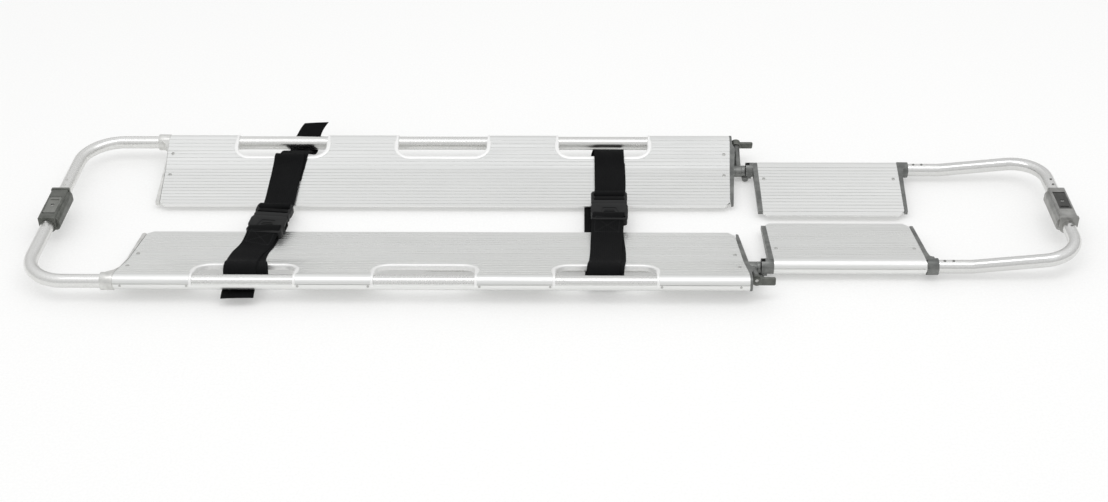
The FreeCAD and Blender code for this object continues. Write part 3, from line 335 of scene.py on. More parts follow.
def smooth_line(points, step):
    """Points every step along a smooth curve through the given ones (centripetal spline)."""
    points = [Vector(p) for p in points]
    points = [2 * points[0] - points[1], *points, 2 * points[-1] - points[-2]]
    line = []
    for p0, p1, p2, p3 in zip(points, points[1:], points[2:], points[3:]):
        t0 = 0.0
        t1 = t0 + (p1 - p0).length ** 0.5
        t2 = t1 + (p2 - p1).length ** 0.5
        t3 = t2 + (p3 - p2).length ** 0.5
        count = max(1, round((p2 - p1).length / step))
        for k in range(count):
            t = t1 + (t2 - t1) * k / count
            a1 = p0 * ((t1 - t) / (t1 - t0)) + p1 * ((t - t0) / (t1 - t0))
            a2 = p1 * ((t2 - t) / (t2 - t1)) + p2 * ((t - t1) / (t2 - t1))
            a3 = p2 * ((t3 - t) / (t3 - t2)) + p3 * ((t - t2) / (t3 - t2))
            b1 = a1 * ((t2 - t) / (t2 - t0)) + a2 * ((t - t0) / (t2 - t0))
            b2 = a2 * ((t3 - t) / (t3 - t1)) + a3 * ((t - t1) / (t3 - t1))
            line.append(b1 * ((t2 - t) / (t2 - t1)) + b2 * ((t - t1) / (t2 - t1)))
    line.append(points[-2])
    return line


# ---------------------------------------------------------------- handhold edging

RAIL_LOW, RAIL_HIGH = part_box("left_main_tube")
TUBE_R = (RAIL_HIGH.z - RAIL_LOW.z) / 2 / MM
RAIL_Y = RAIL_HIGH.y / MM - TUBE_R
RAIL_Z = (RAIL_HIGH.z + RAIL_LOW.z) / 2 / MM
CHANNEL_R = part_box("left_main_panel")[1].y / MM - RAIL_Y
DECK_FALL, DECK_RUN = 20.3, 66.2        # from the rail to the crease
DECK_LEAVES, LEAVES_R = 3.8, 12.8       # inboard run and radius where it leaves the channel
DECK_TILT = math.atan2(DECK_FALL, DECK_RUN)
DECK_START = math.asin(DECK_LEAVES / LEAVES_R)
SEAM_TURN = math.radians(89.0)          # turn on the far side of its top, where the ends stop
GRIP_REACH = 44.1                       # along the deck, to the handhold's inner side
GRIP_CORNER = 24.0
BEAD_R = 2.6
EASE_REACH = 12.0                       # run over which the rail's section becomes the deck's
PATH_STEP, BOTTOM_STEP = 1.6, 4.0
CORNER_STEPS = 16
# Sections of the edging, as (towards the panel or the hole, up from the skin).
LIP_ON_DECK = ((-5.6, 0.05), (-5.3, 0.5), (-4.2, 1.0), (-2.4, 1.4), (-0.5, 1.45), (0.8, 1.0),
               (1.6, 0.1), (1.9, -1.1), (1.9, -7.4), (1.6, -8.0), (1.1, -8.1), (0.8, -7.6),
               (0.7, -3.0), (0.3, -0.4), (-5.6, -0.4))
LIP_ON_RAIL = ((-3.4, 0.05), (-3.1, 0.4), (-2.4, 0.7), (-1.4, 0.85), (-0.4, 0.85), (0.4, 0.6),
               (0.8, 0.2), (0.9, -0.4), (0.9, -1.3), (0.8, -1.6), (0.65, -1.7), (0.5, -1.6),
               (0.4, -1.2), (0.3, -0.4), (-3.4, -0.4))


def panel_skin(reach):
    """Inboard distance, height and slope on the panel, reach mm on from the deck's start."""
    if reach >= 0:
        inboard = CHANNEL_R * math.sin(DECK_START) + reach * math.cos(DECK_TILT)
        height = CHANNEL_R * math.cos(DECK_START) - reach * math.sin(DECK_TILT)
        return inboard, height, DECK_TILT
    turn = DECK_START + reach / CHANNEL_R
    return CHANNEL_R * math.sin(turn), CHANNEL_R * math.cos(turn), turn


def lip_path(half):
    """Outline of a handhold on the panel: (along, reach, direction to the hole) in mm."""
    low = -(SEAM_TURN + DECK_START) * CHANNEL_R
    deep = GRIP_REACH - GRIP_CORNER
    side = [(-half, reach, (1.0, 0.0)) for reach in np.arange(low, deep, PATH_STEP)]
    for k in range(CORNER_STEPS + 1):
        turn = math.radians(90 * k / CORNER_STEPS)
        side.append((-half + GRIP_CORNER * (1 - math.cos(turn)),
                     deep + GRIP_CORNER * math.sin(turn), (math.cos(turn), -math.sin(turn))))
    first, last = -half + GRIP_CORNER + BOTTOM_STEP, half - GRIP_CORNER - BOTTOM_STEP / 2
    bottom = [(along, GRIP_REACH, (0.0, -1.0)) for along in np.arange(first, last, BOTTOM_STEP)]
    back = [(-along, reach, (-to[0], to[1])) for along, reach, to in reversed(side)]
    return side + bottom + back


def edging(side):
    """Rolled edging round the three handholds of one half, its ends wrapped over the rail."""
    sign = SIDES[side]
    solids = islands(f"{side}_handhold_beads")
    for number, solid in enumerate(sorted(solids, key=lambda s: s[:, 0].min()), start=1):
        x0, x1 = solid[:, 0].min() / MM, solid[:, 0].max() / MM
        middle, half = (x0 + x1) / 2, (x1 - x0) / 2 - BEAD_R
        rings = []
        for along, reach, to in lip_path(half):
            share = min(1.0, max(0.0, reach / EASE_REACH))
            share = share * share * (3 - 2 * share)
            inboard, height, slope = panel_skin(reach)
            ring = []
            for (m0, n0), (m1, n1) in zip(LIP_ON_RAIL, LIP_ON_DECK):
                over = m0 + (m1 - m0) * share
                up = n0 + (n1 - n0) * share
                d = inboard + over * to[1] * math.cos(slope) + up * math.sin(slope)
                z = height - over * to[1] * math.sin(slope) + up * math.cos(slope)
                x = middle + along + over * to[0]
                ring.append((x * MM, sign * (RAIL_Y - d) * MM, (RAIL_Z + z) * MM))
            rings.append(ring)
        mesh = mesh_of("edging", *skin(rings))
        item = piece(f"{side}_handhold_edging_{number}", mesh, "lip", f"{side}_main",
                     50)
        if number == 1:
            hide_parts(f"{side}_handhold_beads")


# ---------------------------------------------------------------- fasteners

HEAD_RINGS, HEAD_AROUND = 13, 40
DOME_FALL = 0.82            # how much of its height a dome loses towards its rim
DOME_POWER = 2.6
RIM_SHARE = 0.995           # of the radius: beyond it the head ends
CROSS_REACH = 0.62          # of the radius
CROSS_HALF = 0.13
CROSS_DEPTH = 0.62          # of the height
DIMPLE_REACH = 0.36
DIMPLE_DEPTH = 0.5


def head_mesh(centre, axis, radius, height, kind):
    """A dome head on an axis: a cross recess for a screw, a drawn-in middle for a rivet."""
    rings, around = HEAD_RINGS, HEAD_AROUND
    up = Vector(axis).normalized()
    side = up.orthogonal().normalized()
    turn = Matrix.Rotation(random.uniform(0, math.pi), 3, up)
    side = turn @ side
    other = up.cross(side)
    points, faces = [], []

    def rise(r, angle):
        share = r / radius
        dome = height * math.sqrt(max(0.0, 1 - DOME_FALL * share ** DOME_POWER))
        if share > RIM_SHARE:
            dome = 0.0
        if kind == "screw":
            x, y = abs(r * math.cos(angle)), abs(r * math.sin(angle))
            arm = min(max(x, y) / (CROSS_REACH * radius), 1.0)
            if min(x, y) < CROSS_HALF * radius and arm < 1.0:
                dome -= CROSS_DEPTH * height * (1 - arm ** 4)
        elif share < DIMPLE_REACH:
            dome -= DIMPLE_DEPTH * height * (1 - (share / DIMPLE_REACH) ** 2)
        return dome

    centre = Vector(centre)
    points.append(centre + up * rise(0.0, 0.0))
    for k in range(1, rings + 1):
        r = radius * (k / rings) ** 0.9
        for j in range(around):
            angle = 2 * math.pi * j / around
            spot = side * (r * math.cos(angle)) + other * (r * math.sin(angle))
            points.append(centre + spot + up * rise(r, angle))
    last = len(points)
    for j in range(around):
        angle = 2 * math.pi * j / around
        spot = (side * math.cos(angle) + other * math.sin(angle)) * radius
        points.append(centre + spot - up * height * 0.5)
    for j in range(around):
        nxt = (j + 1) % around
        faces.append((0, 1 + j, 1 + nxt))
        for k in range(rings - 1):
            low, high = 1 + k * around, 1 + (k + 1) * around
            faces.append((low + j, high + j, high + nxt, low + nxt))
        high = 1 + (rings - 1) * around
        faces.append((high + j, last + j, last + nxt, high + nxt))
    faces.append(tuple(last + j for j in range(around)))
    return points, faces


def heads(node, kind, body, out_of):
    """Replaces a node of plain fastener heads with detailed ones in the same places."""
    points, faces = [], []
    for solid in islands(node):
        middle = solid.mean(axis=0)
        _, axes = np.linalg.eigh(np.cov((solid - middle).T))
        axis = Vector(axes[:, 0])
        if axis.dot(Vector(out_of(middle))) < 0:
            axis = -axis
        spread = (solid - middle) @ np.array(axis)
        flat = solid - middle - np.outer(spread, np.array(axis))
        radius = float(np.linalg.norm(flat, axis=1).max())
        base = Vector(middle) + axis * float(spread.min())
        height = float(spread.max() - spread.min())
        made, sides = head_mesh(base, axis, radius, height, kind)
        start = len(points)
        points += made
        faces += [tuple(index + start for index in face) for face in sides]
    # Leg rivets take the darkened steel: painted shade for their recess shadow.
    look = "rivet" if node.endswith("leg_rivets") else "steel"
    item = piece(f"{node}_heads", mesh_of(node, points, faces), look, body,
                 35)
    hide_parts(node)


def fasteners():
    """Screws face up; rivets face up or, along the rail, outward."""
    def up(_middle):
        return (0, 0, 1)

    def from_rail(middle):
        if abs(middle[1]) < (RAIL_Y - 1) * MM:
            return (0, 0, 1)
        return (0, middle[1] - math.copysign(RAIL_Y * MM, middle[1]), middle[2] - RAIL_Z * MM)

    for side in SIDES:
        heads(f"{side}_panel_screws", "screw", f"{side}_main", up)
        heads(f"{side}_leg_screws", "screw", f"{side}_leg", up)
        heads(f"{side}_main_rivets", "rivet", f"{side}_main", from_rail)
        heads(f"{side}_leg_rivets", "rivet", f"{side}_leg", up)


# ---------------------------------------------------------------- webbing

WEB_WIDTH = 52.0
WEB_THICK = 1.7
WEB_RIB = 3.25
RIB_RISE = 0.1
SELVEDGE = 3.0
SELVEDGE_RISE = 0.14
EDGE_ROUND = 0.9
LINE_STEP = 2.0
COLUMNS = 81
CLOSE_FROM = 0.93           # share of the half width beyond which the columns close up
CLOSE_FIT = 0.9956          # makes the two spacings meet there
TURN = 6.28
END_PINCH = 0.45            # share of the thickness left at a cut end
TWIST_START = 0.66          # share of the length where a leaning end begins to turn
TWIST_SHARE = 0.2


class Ribbon:
    """Flat webbing along stations (x, y, z) in mm, with woven ribs and thicker selvedges."""

    def __init__(self, stations, cup=0.5, wave=0.35, seed=1, width=WEB_WIDTH, lean=None):
        self.width = width
        self.cup = cup
        self.line = smooth_line(stations, LINE_STEP)
        rng = random.Random(seed)
        phases = [(rng.uniform(0, TURN), rng.uniform(28, 60), rng.uniform(0.4, 1.0))
                  for _ in range(3)]
        self.frames = []
        travelled = 0.0
        for k, point in enumerate(self.line):
            ahead = self.line[min(k + 1, len(self.line) - 1)]
            behind = self.line[max(k - 1, 0)]
            tangent = (ahead - behind).normalized()
            across = Vector((1, 0, 0))
            across = (across - tangent * across.dot(tangent)).normalized()
            if lean:
                share = (k / len(self.line) - TWIST_START) / TWIST_SHARE
                across = across.lerp(Vector(lean), min(1.0, max(0.0, share)))
            normal = tangent.cross(across).normalized()
            if k:
                travelled += (point - self.line[k - 1]).length
            waves = sum(a * math.sin(travelled / w * TURN + p) for p, w, a in phases)
            lift = wave * waves / 2
            self.frames.append((point + normal * lift, across, normal, travelled))

    def half_thick(self, u):
        """Half thickness at a place across: ribs, a thicker selvedge and a rounded edge."""
        half = self.width / 2
        edge = half - abs(u)
        thick = WEB_THICK / 2 + RIB_RISE * math.cos(2 * math.pi * u / WEB_RIB)
        if edge < SELVEDGE:
            thick = WEB_THICK / 2 + SELVEDGE_RISE * math.sin(math.pi * edge / SELVEDGE)
        if edge < EDGE_ROUND:
            thick *= math.sqrt(max(0.0, 1 - (1 - edge / EDGE_ROUND) ** 2))
        return max(thick, 0.02)

    def on(self, k, u, out):
        """The point at row k, u mm across and out mm from the middle layer."""
        centre, across, normal, _ = self.frames[k]
        bow = self.cup * ((2 * u / self.width) ** 2 - 0.33)
        return centre + across * u + normal * (out - bow)

    def mesh(self, name):
        """The webbing's mesh, its columns closer together at the two edges."""
        half = self.width / 2
        spread = [half * math.sin(math.pi / 2 * t) if abs(t) > CLOSE_FROM
                  else half * t / CLOSE_FIT for t in np.linspace(-1, 1, COLUMNS)]
        spread[0], spread[-1] = -half, half
        rings, uvs = [], []
        last = len(self.frames) - 1
        for k in range(last + 1):
            pinch = 1.0 if 0 < k < last else END_PINCH
            top = [(u, self.half_thick(u) * pinch) for u in spread]
            under = [(u, -t) for u, t in reversed(top)][1:-1]
            rings.append([self.on(k, u, t) * MM for u, t in top + under])
            uvs.append([(u * MM, self.frames[k][3] * MM) for u, _ in top + under])
        points, faces = skin(rings)
        mesh = mesh_of(name, points, faces)
        flat = [uv for ring in uvs for uv in ring]
        layer = mesh.uv_layers.new(name="weave")
        for loop in mesh.loops:
            layer.data[loop.index].uv = flat[loop.vertex_index]
        return mesh


STITCH = 3.4
THREAD_HALF_WIDTH = 0.42
THREAD_HALF_HEIGHT = 0.34
THREAD_SINK = 0.05
THREAD_SIDES = 6
THREAD_FAT = ((0.0, 0.35), (0.2, 0.9), (0.5, 1.0), (0.8, 0.9), (1.0, 0.35))


def stitch_box(ribbon, start, end, inset=6.0):
    """Stitches of a sewn box with a cross in it, on top of a ribbon: points and faces."""
    half = ribbon.width / 2 - inset
    corners = [(-half, start), (half, start), (half, end), (-half, end)]
    runs = list(zip(corners, corners[1:] + corners[:1]))
    runs += [(corners[0], corners[2]), (corners[1], corners[3])]
    points, faces = [], []

    def spot(u, s, out):
        k = min(range(len(ribbon.frames)), key=lambda i: abs(ribbon.frames[i][3] - s))
        centre = ribbon.on(k, u, out)
        return centre + (ribbon.frames[min(k + 1, len(ribbon.frames) - 1)][0]
                         - ribbon.frames[k][0]).normalized() * (s - ribbon.frames[k][3])

    for (u0, s0), (u1, s1) in runs:
        length = math.hypot(u1 - u0, s1 - s0)
        count = max(2, int(length / STITCH))
        for k in range(count):
            ends = []
            for share in ((k + 0.1) / count, (k + 0.9) / count):
                ends.append((u0 + (u1 - u0) * share, s0 + (s1 - s0) * share))
            lift = ribbon.half_thick(ends[0][0])
            rings = []
            for t, fat in THREAD_FAT:
                u = ends[0][0] + (ends[1][0] - ends[0][0]) * t
                s = ends[0][1] + (ends[1][1] - ends[0][1]) * t
                du, ds = (u1 - u0) / length, (s1 - s0) / length
                ring = []
                for j in range(THREAD_SIDES):
                    angle = 2 * math.pi * j / THREAD_SIDES
                    side = THREAD_HALF_WIDTH * fat * math.cos(angle)
                    up = lift - THREAD_SINK + THREAD_HALF_HEIGHT * fat * math.sin(angle)
                    ring.append(spot(u - ds * side, s + du * side, up) * MM)
                rings.append(ring)
            made, sides = skin(rings)
            base = len(points)
            points += made
            faces += [tuple(index + base for index in face) for face in sides]
    return points, faces


def strap(name, stations, body, seed, replaces=None, sewn=None, **shape):
    """One layer of webbing, with a sewn box where asked."""
    ribbon = Ribbon(stations, seed=seed, **shape)
    item = piece(name, ribbon.mesh(name), "web", body, 70)
    if replaces:
        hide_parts(replaces)
    if sewn:
        thread = mesh_of(name + "_stitching", *stitch_box(ribbon, *sewn))
        piece(name + "_stitching", thread, "thread", body, 60)


HOLE_ROWS = ((139, 29.6), (150, 32.9), (158, 36.3), (164, 38.3), (172, 39.1), (180, 37.4))


def into_hole(x_edge, x_low, sign, drop):
    """Stations from the deck, over the edging and into a handhold, drop mm under the top."""
    span = len(HOLE_ROWS) - 1
    return [(x_edge + (x_low - x_edge) * k / span, sign * y, z - drop)
            for k, (y, z) in enumerate(HOLE_ROWS)]


def straps():
    """The chest strap and the hip strap, each layer on the half that holds it."""
    strap("hip_strap_near_top", [
        (89.5, -9.9, 25.5), (89.4, -10.2, 30.5), (89.0, -12.6, 33.4), (88.2, -17.0, 33.9),
        (86.6, -26.0, 31.0), (85.4, -40.0, 26.6), (84.8, -60.0, 23.4), (83.8, -88.0, 23.0),
        (83.1, -115.0, 25.9), *into_hole(81.8, 77.5, -1, 0.0), (76.8, -187.0, 32.3),
        (76.4, -190.6, 25.4), (76.0, -189.4, 18.6), (75.6, -184.0, 12.6), (75.4, -175.0, 8.0),
        (75.2, -163.0, 6.6), (75.0, -148.0, 6.5), (75.0, -135.0, 6.6), (75.0, -127.0, 9.2),
        (75.0, -119.5, 13.2), (75.0, -108.0, 14.8), (74.8, -97.0, 14.2), (74.6, -85.0, 11.8),
        (74.4, -66.0, 8.7), (74.1, -45.0, 6.8), (74.0, -20.0, 6.3), (74.0, 8.0, 6.3),
        (74.0, 36.0, 6.5), (74.2, 60.0, 7.4),
    ], "right_main", 3, "hip_strap_right", sewn=(22.0, 54.0), cup=0.25, wave=0.12)
    strap("hip_strap_near_under", [
        (89.5, -9.9, 23.5), (89.4, -10.6, 19.6), (89.0, -13.6, 17.4), (88.2, -22.0, 18.0),
        (87.2, -34.0, 19.4), (86.6, -50.0, 19.2), (87.8, -75.0, 18.6), (88.9, -100.0, 21.2),
        (89.2, -118.0, 24.2), *into_hole(88.6, 85.0, -1, 2.35), (84.4, -184.6, 29.5),
        (83.8, -186.6, 23.0), (83.4, -185.2, 16.5), (82.8, -180.5, 11.6),
    ], "right_main", 5, cup=0.3)
    strap("hip_strap_far_top", [
        (90.5, 44.4, 24.0), (90.5, 44.8, 29.4), (90.5, 46.8, 32.3), (90.6, 50.5, 33.1),
        (90.7, 54.2, 32.3), (90.9, 56.3, 28.5), (91.1, 57.6, 22.4), (91.4, 61.5, 18.1),
        (91.8, 70.0, 18.9), (92.0, 82.0, 21.2), (92.0, 100.0, 24.4), (92.0, 120.0, 27.2),
        *into_hole(92.0, 91.6, 1, 0.0), (90.8, 187.0, 32.3), (89.0, 190.6, 25.4),
        (86.8, 189.2, 18.6), (84.6, 183.5, 12.2), (82.6, 174.0, 7.8), (81.2, 162.0, 6.6),
        (79.8, 148.0, 6.5), (78.8, 135.0, 6.6), (78.2, 127.0, 9.2), (77.8, 119.5, 13.2),
        (77.4, 108.0, 14.8), (77.0, 97.0, 14.2), (76.6, 85.0, 11.8), (76.2, 76.0, 10.4),
    ], "left_main", 8, "hip_strap_left", cup=0.25, wave=0.12)
    strap("hip_strap_far_under", [
        (90.5, 44.3, 22.0), (90.6, 43.9, 18.6), (90.8, 46.6, 16.0), (91.2, 54.0, 15.5),
        (91.8, 62.0, 16.1), (92.4, 72.0, 17.0), (93.2, 84.0, 18.8), (93.6, 102.0, 21.5),
        (93.6, 120.0, 24.3), (93.4, 134.0, 26.5), (93.2, 147.0, 29.8),
    ], "left_main", 9, cup=0.2, wave=0.15)
    strap("chest_strap_near_top", [
        (-479.6, -45.6, 23.5), (-479.7, -46.2, 28.4), (-480.0, -48.8, 31.0),
        (-480.6, -53.5, 31.4), (-481.8, -63.0, 28.8), (-485.0, -79.0, 24.6),
        (-488.6, -93.0, 23.2), (-492.8, -106.0, 24.0), (-496.4, -120.0, 26.3),
        *into_hole(-499.2, -498.2, -1, 0.0), (-497.6, -187.0, 32.5), (-497.2, -190.8, 26.2),
        (-497.0, -193.9, 20.8), (-496.9, -199.0, 17.8), (-496.9, -209.0, 17.3),
        (-496.7, -219.0, 17.0), (-496.4, -228.0, 15.6),
    ], "right_main", 11, "chest_strap_right", sewn=(22.0, 52.0))
    strap("chest_strap_near_under", [
        (-479.6, -45.6, 21.5), (-479.6, -46.4, 18.4), (-479.8, -49.6, 16.1),
        (-480.4, -58.0, 16.8), (-481.8, -72.0, 18.6), (-484.8, -93.0, 20.6),
        (-487.8, -106.0, 22.0), (-489.8, -119.0, 24.2), *into_hole(-490.0, -479.0, -1, 2.35),
        (-478.4, -184.6, 29.8), (-478.0, -187.4, 23.4), (-477.8, -187.4, 16.8),
        (-477.8, -183.5, 11.8),
    ], "right_main", 12, cup=0.3)
    strap("chest_strap_far_top", [
        (-474.6, 8.3, 23.0), (-474.6, 8.7, 27.6), (-474.4, 10.8, 30.2), (-474.1, 14.3, 31.0),
        (-473.8, 17.9, 30.2), (-473.6, 20.1, 26.4), (-473.5, 22.0, 20.6), (-473.2, 26.5, 16.6),
        (-472.8, 34.0, 16.0), (-472.3, 46.0, 16.6), (-471.9, 62.0, 18.8), (-471.6, 80.0, 21.2),
        (-471.4, 100.0, 24.0), (-471.3, 120.0, 26.9), (-471.2, 139.0, 29.6),
        (-471.0, 150.0, 33.0), (-470.8, 157.0, 36.4), (-470.6, 162.5, 37.8),
        (-470.4, 166.8, 36.9), (-470.2, 169.4, 32.6), (-470.0, 169.6, 26.6),
        (-469.8, 167.2, 21.4),
    ], "left_main", 15, "chest_strap_left")
    strap("chest_strap_far_tail", [
        (-468.6, 104.0, 22.0), (-468.0, 120.0, 24.3), (-467.2, 134.0, 26.5),
        (-466.4, 143.0, 28.5), (-465.6, 150.0, 30.5), (-464.8, 158.0, 33.9),
        (-464.0, 164.0, 35.8), (-463.0, 171.0, 35.6), (-461.8, 180.0, 33.6),
        (-460.6, 187.5, 29.4), (-459.4, 191.6, 24.4), (-458.2, 195.6, 19.8),
        (-456.4, 201.5, 17.5), (-454.6, 209.0, 17.2), (-453.2, 218.0, 18.4),
        (-452.0, 226.0, 23.0), (-450.0, 233.0, 30.4), (-446.0, 240.0, 37.6),
        (-440.8, 246.0, 44.2), (-434.6, 250.8, 50.4),
    ], "left_main", 17, cup=-0.6, wave=0.5, lean=(0.95, -0.41, 0.29), width=50.0)
    strap("chest_strap_far_under", [
        (-474.6, 8.3, 21.0), (-474.5, 7.7, 17.8), (-474.3, 10.2, 14.9), (-473.8, 20.0, 13.9),
        (-473.4, 32.0, 13.5), (-473.0, 42.0, 13.9), (-472.6, 60.0, 16.0),
        (-472.4, 80.0, 18.8), (-472.2, 92.0, 20.4), (-472.0, 101.0, 21.7),
    ], "left_main", 19, cup=0.2, wave=0.15)


# ---------------------------------------------------------------- buckles

def slab(outline, low, high):
    """A closed prism from a plan outline in mm."""
    data = bmesh.new()
    floor = [data.verts.new((x, y, low)) for x, y in outline]
    roof = [data.verts.new((x, y, high)) for x, y in outline]
    count = len(outline)
    data.faces.new(list(reversed(floor)))
    data.faces.new(roof)
    for k in range(count):
        nxt = (k + 1) % count
        data.faces.new((floor[k], floor[nxt], roof[nxt], roof[k]))
    bmesh.ops.recalc_face_normals(data, faces=data.faces)
    mesh = bpy.data.meshes.new("slab")
    data.to_mesh(mesh)
    data.free()
    item = bpy.data.objects.new("slab", mesh)
    bpy.context.scene.collection.objects.link(item)
    return item


def box_outline(x0, x1, y0, y1):
    """The corners of a rectangle, in the order that slab takes."""
    return [(x0, y0), (x1, y0), (x1, y1), (x0, y1)]


ARC_STEPS = 6


def rounded_outline(corners):
    """A plan outline from corners (x, y, radius), each rounded by an arc."""
    outline = []
    count = len(corners)
    for k, (x, y, radius) in enumerate(corners):
        here = Vector((x, y))
        before = Vector(corners[k - 1][:2]) - here
        after = Vector(corners[(k + 1) % count][:2]) - here
        if radius == 0:
            outline.append((x, y))
            continue
        half = before.angle(after) / 2
        reach = radius / math.tan(half)
        start = here + before.normalized() * reach
        end = here + after.normalized() * reach
        inward = (before.normalized() + after.normalized()).normalized()
        centre = here + inward * (radius / math.sin(half))
        first = start - centre
        turn = first.angle_signed(end - centre)
        for j in range(ARC_STEPS + 1):
            outline.append(tuple(centre + Matrix.Rotation(-turn * j / ARC_STEPS, 2) @ first))
    return outline


def bar_outline(half, low, high, radius):
    """The plan outline of a bar across the strap, with rounded corners."""
    return rounded_outline([(half, low, radius), (half, high, radius),
                            (-half, high, radius), (-half, low, radius)])


SHARP_TURN = math.radians(50)


def carved(solid, cutters, bevel, segments=3):
    """A solid with cutters taken away and its edges rounded, as a mesh."""
    for cutter in cutters:
        cut = solid.modifiers.new("cut", "BOOLEAN")
        cut.operation = "DIFFERENCE"
        cut.solver = "EXACT"
        cut.object = cutter
    edge = solid.modifiers.new("round", "BEVEL")
    edge.width = bevel
    edge.segments = segments
    edge.limit_method = "ANGLE"
    edge.angle_limit = SHARP_TURN
    edge.use_clamp_overlap = True
    bpy.context.view_layer.update()
    graph = bpy.context.evaluated_depsgraph_get()
    mesh = bpy.data.meshes.new_from_object(solid.evaluated_get(graph))
    for item in (solid, *cutters):
        bpy.data.objects.remove(item)
    return mesh


def merged(name, meshes, turn):
    """Meshes in mm joined into one, turned into place and scaled to metres."""
    data = bmesh.new()
    for mesh in meshes:
        data.from_mesh(mesh)
        bpy.data.meshes.remove(mesh)
    data.transform(turn)
    made = bpy.data.meshes.new(name)
    data.to_mesh(made)
    data.free()
    return made


def mirrored(outline):
    """An outline's mirror image across x = 0."""
    return [(-x, y) for x, y in reversed(outline)]


def socket_meshes():
    """The socket: a flat shell with a mouth, side windows and a bar for the webbing."""
    shell = slab(rounded_outline([
        (28.0, 0, 3), (31.0, -7, 6), (31.0, -27, 7), (28.6, -33, 4), (29.8, -40, 4),
        (28.6, -48, 6), (-28.6, -48, 6), (-29.8, -40, 4), (-28.6, -33, 4), (-31.0, -27, 7),
        (-31.0, -7, 6), (-28.0, 0, 3)]), 0, 13)
    cutters = [
        slab(box_outline(-26.4, 26.4, -32, 2), 2.5, 10.5),
        slab(bar_outline(26.3, -42.4, -37.4, 1.6), -2, 15),
        slab(box_outline(-34, -25, -26.5, -9.5), 2.2, 10.8),
        slab(box_outline(25, 34, -26.5, -9.5), 2.2, 10.8),
    ]
    panel = rounded_outline([(17, -31, 3), (11, -12, 3), (-11, -12, 3), (-17, -31, 3)])
    cutters += [slab(panel, 12.3, 15), slab(panel, -2, 0.7)]
    made = [carved(shell, cutters, 0.9)]
    for step in range(3):
        y = -27.5 + 4.2 * step
        half = 11.5 - 1.6 * step
        ridge = slab(bar_outline(half, y - 0.8, y + 0.8, 0.7), 12.0, 13.1)
        made.append(carved(ridge, [], 0.35, 2))
    return made


def plug_meshes():
    """The plug: a ladder frame for the webbing, two springy arms with buttons and a guide."""
    frame_part = slab(rounded_outline([
        (27.0, 0.6, 3), (30.0, 4, 4), (28.8, 10, 4), (30.6, 18, 6), (30.6, 32, 6),
        (28.0, 38.6, 6), (-28.0, 38.6, 6), (-30.6, 32, 6), (-30.6, 18, 6), (-28.8, 10, 4),
        (-30.0, 4, 4), (-27.0, 0.6, 3)]), 0.6, 12.0)
    cutters = [slab(bar_outline(26.2, low, low + 5, 1.4), -2, 15) for low in (12, 24)]
    cutters.append(slab(box_outline(-24.5, 24.5, 16.5, 24.5), 10.6, 15))
    made = [carved(frame_part, cutters, 0.9)]
    for y in (18.0, 20.5, 23.0):
        tooth = slab(bar_outline(24, y - 0.55, y + 0.55, 0.5), 10.0, 11.5)
        made.append(carved(tooth, [], 0.3, 2))
    arm = rounded_outline([
        (17.5, 3, 0), (23.5, 3, 0), (22.6, -8, 4), (28.9, -11.5, 2), (29.3, -20, 5),
        (25.4, -24, 1.5), (21.5, -24.6, 1.5), (20.2, -20, 3), (18.6, -8, 6)])
    for outline in (arm, mirrored(arm)):
        made.append(carved(slab(outline, 3.6, 9.4), [], 0.7, 2))
    made.append(carved(slab(box_outline(-4, 4, -24.5, 3), 3.8, 9.2), [], 0.8, 2))
    return made


def buckles():
    """Both buckles, in the places of their CAD solids: lift and shift in mm, turn in degrees."""
    for name, lift, shift, turn in (("chest", 1.6, 0.0, -6.0), ("hip", 0.0, -1.5, 0.0)):
        low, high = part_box(f"{name}_buckle_socket")
        low_plug, high_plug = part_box(f"{name}_buckle_plug")
        middle = (low.x + high.x + low_plug.x + high_plug.x) / 4 + shift * MM
        mouth = (high.y + low_plug.y) / 2 - 0.3 * MM
        place = Vector((middle, mouth, low.z + lift * MM))
        turned = (Matrix.Translation(place) @ Matrix.Rotation(math.radians(turn), 4, "Z")
                  @ Matrix.Scale(MM, 4))
        for part, meshes, body in (("socket", socket_meshes(), "right_main"),
                                   ("plug", plug_meshes(), "left_main")):
            mesh = merged(f"{name}_buckle_{part}_shell", meshes, turned)
            item = piece(f"{name}_{part}", mesh, "buckle", body, 38)
            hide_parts(f"{name}_buckle_{part}")


# ---------------------------------------------------------------- stage

FLOOR_REACH = 14.0
FLOOR_DROP = 0.5
FLOOR_GLOW = 0.32
LAMP_PLACE = (0.1, -0.5, 2.6)
LAMP_SIZE = (3.4, 1.0)
LAMP_POWER = 18.0
SKY_LOW, SKY_HIGH = (0.60, 0.60, 0.59, 1), (1.02, 1.025, 1.04, 1)
SKY_STEPS = ((0.22, 0.72), (0.5, 0.80), (0.74, 0.98))   # (height in the sky, 0 to 1, and level)


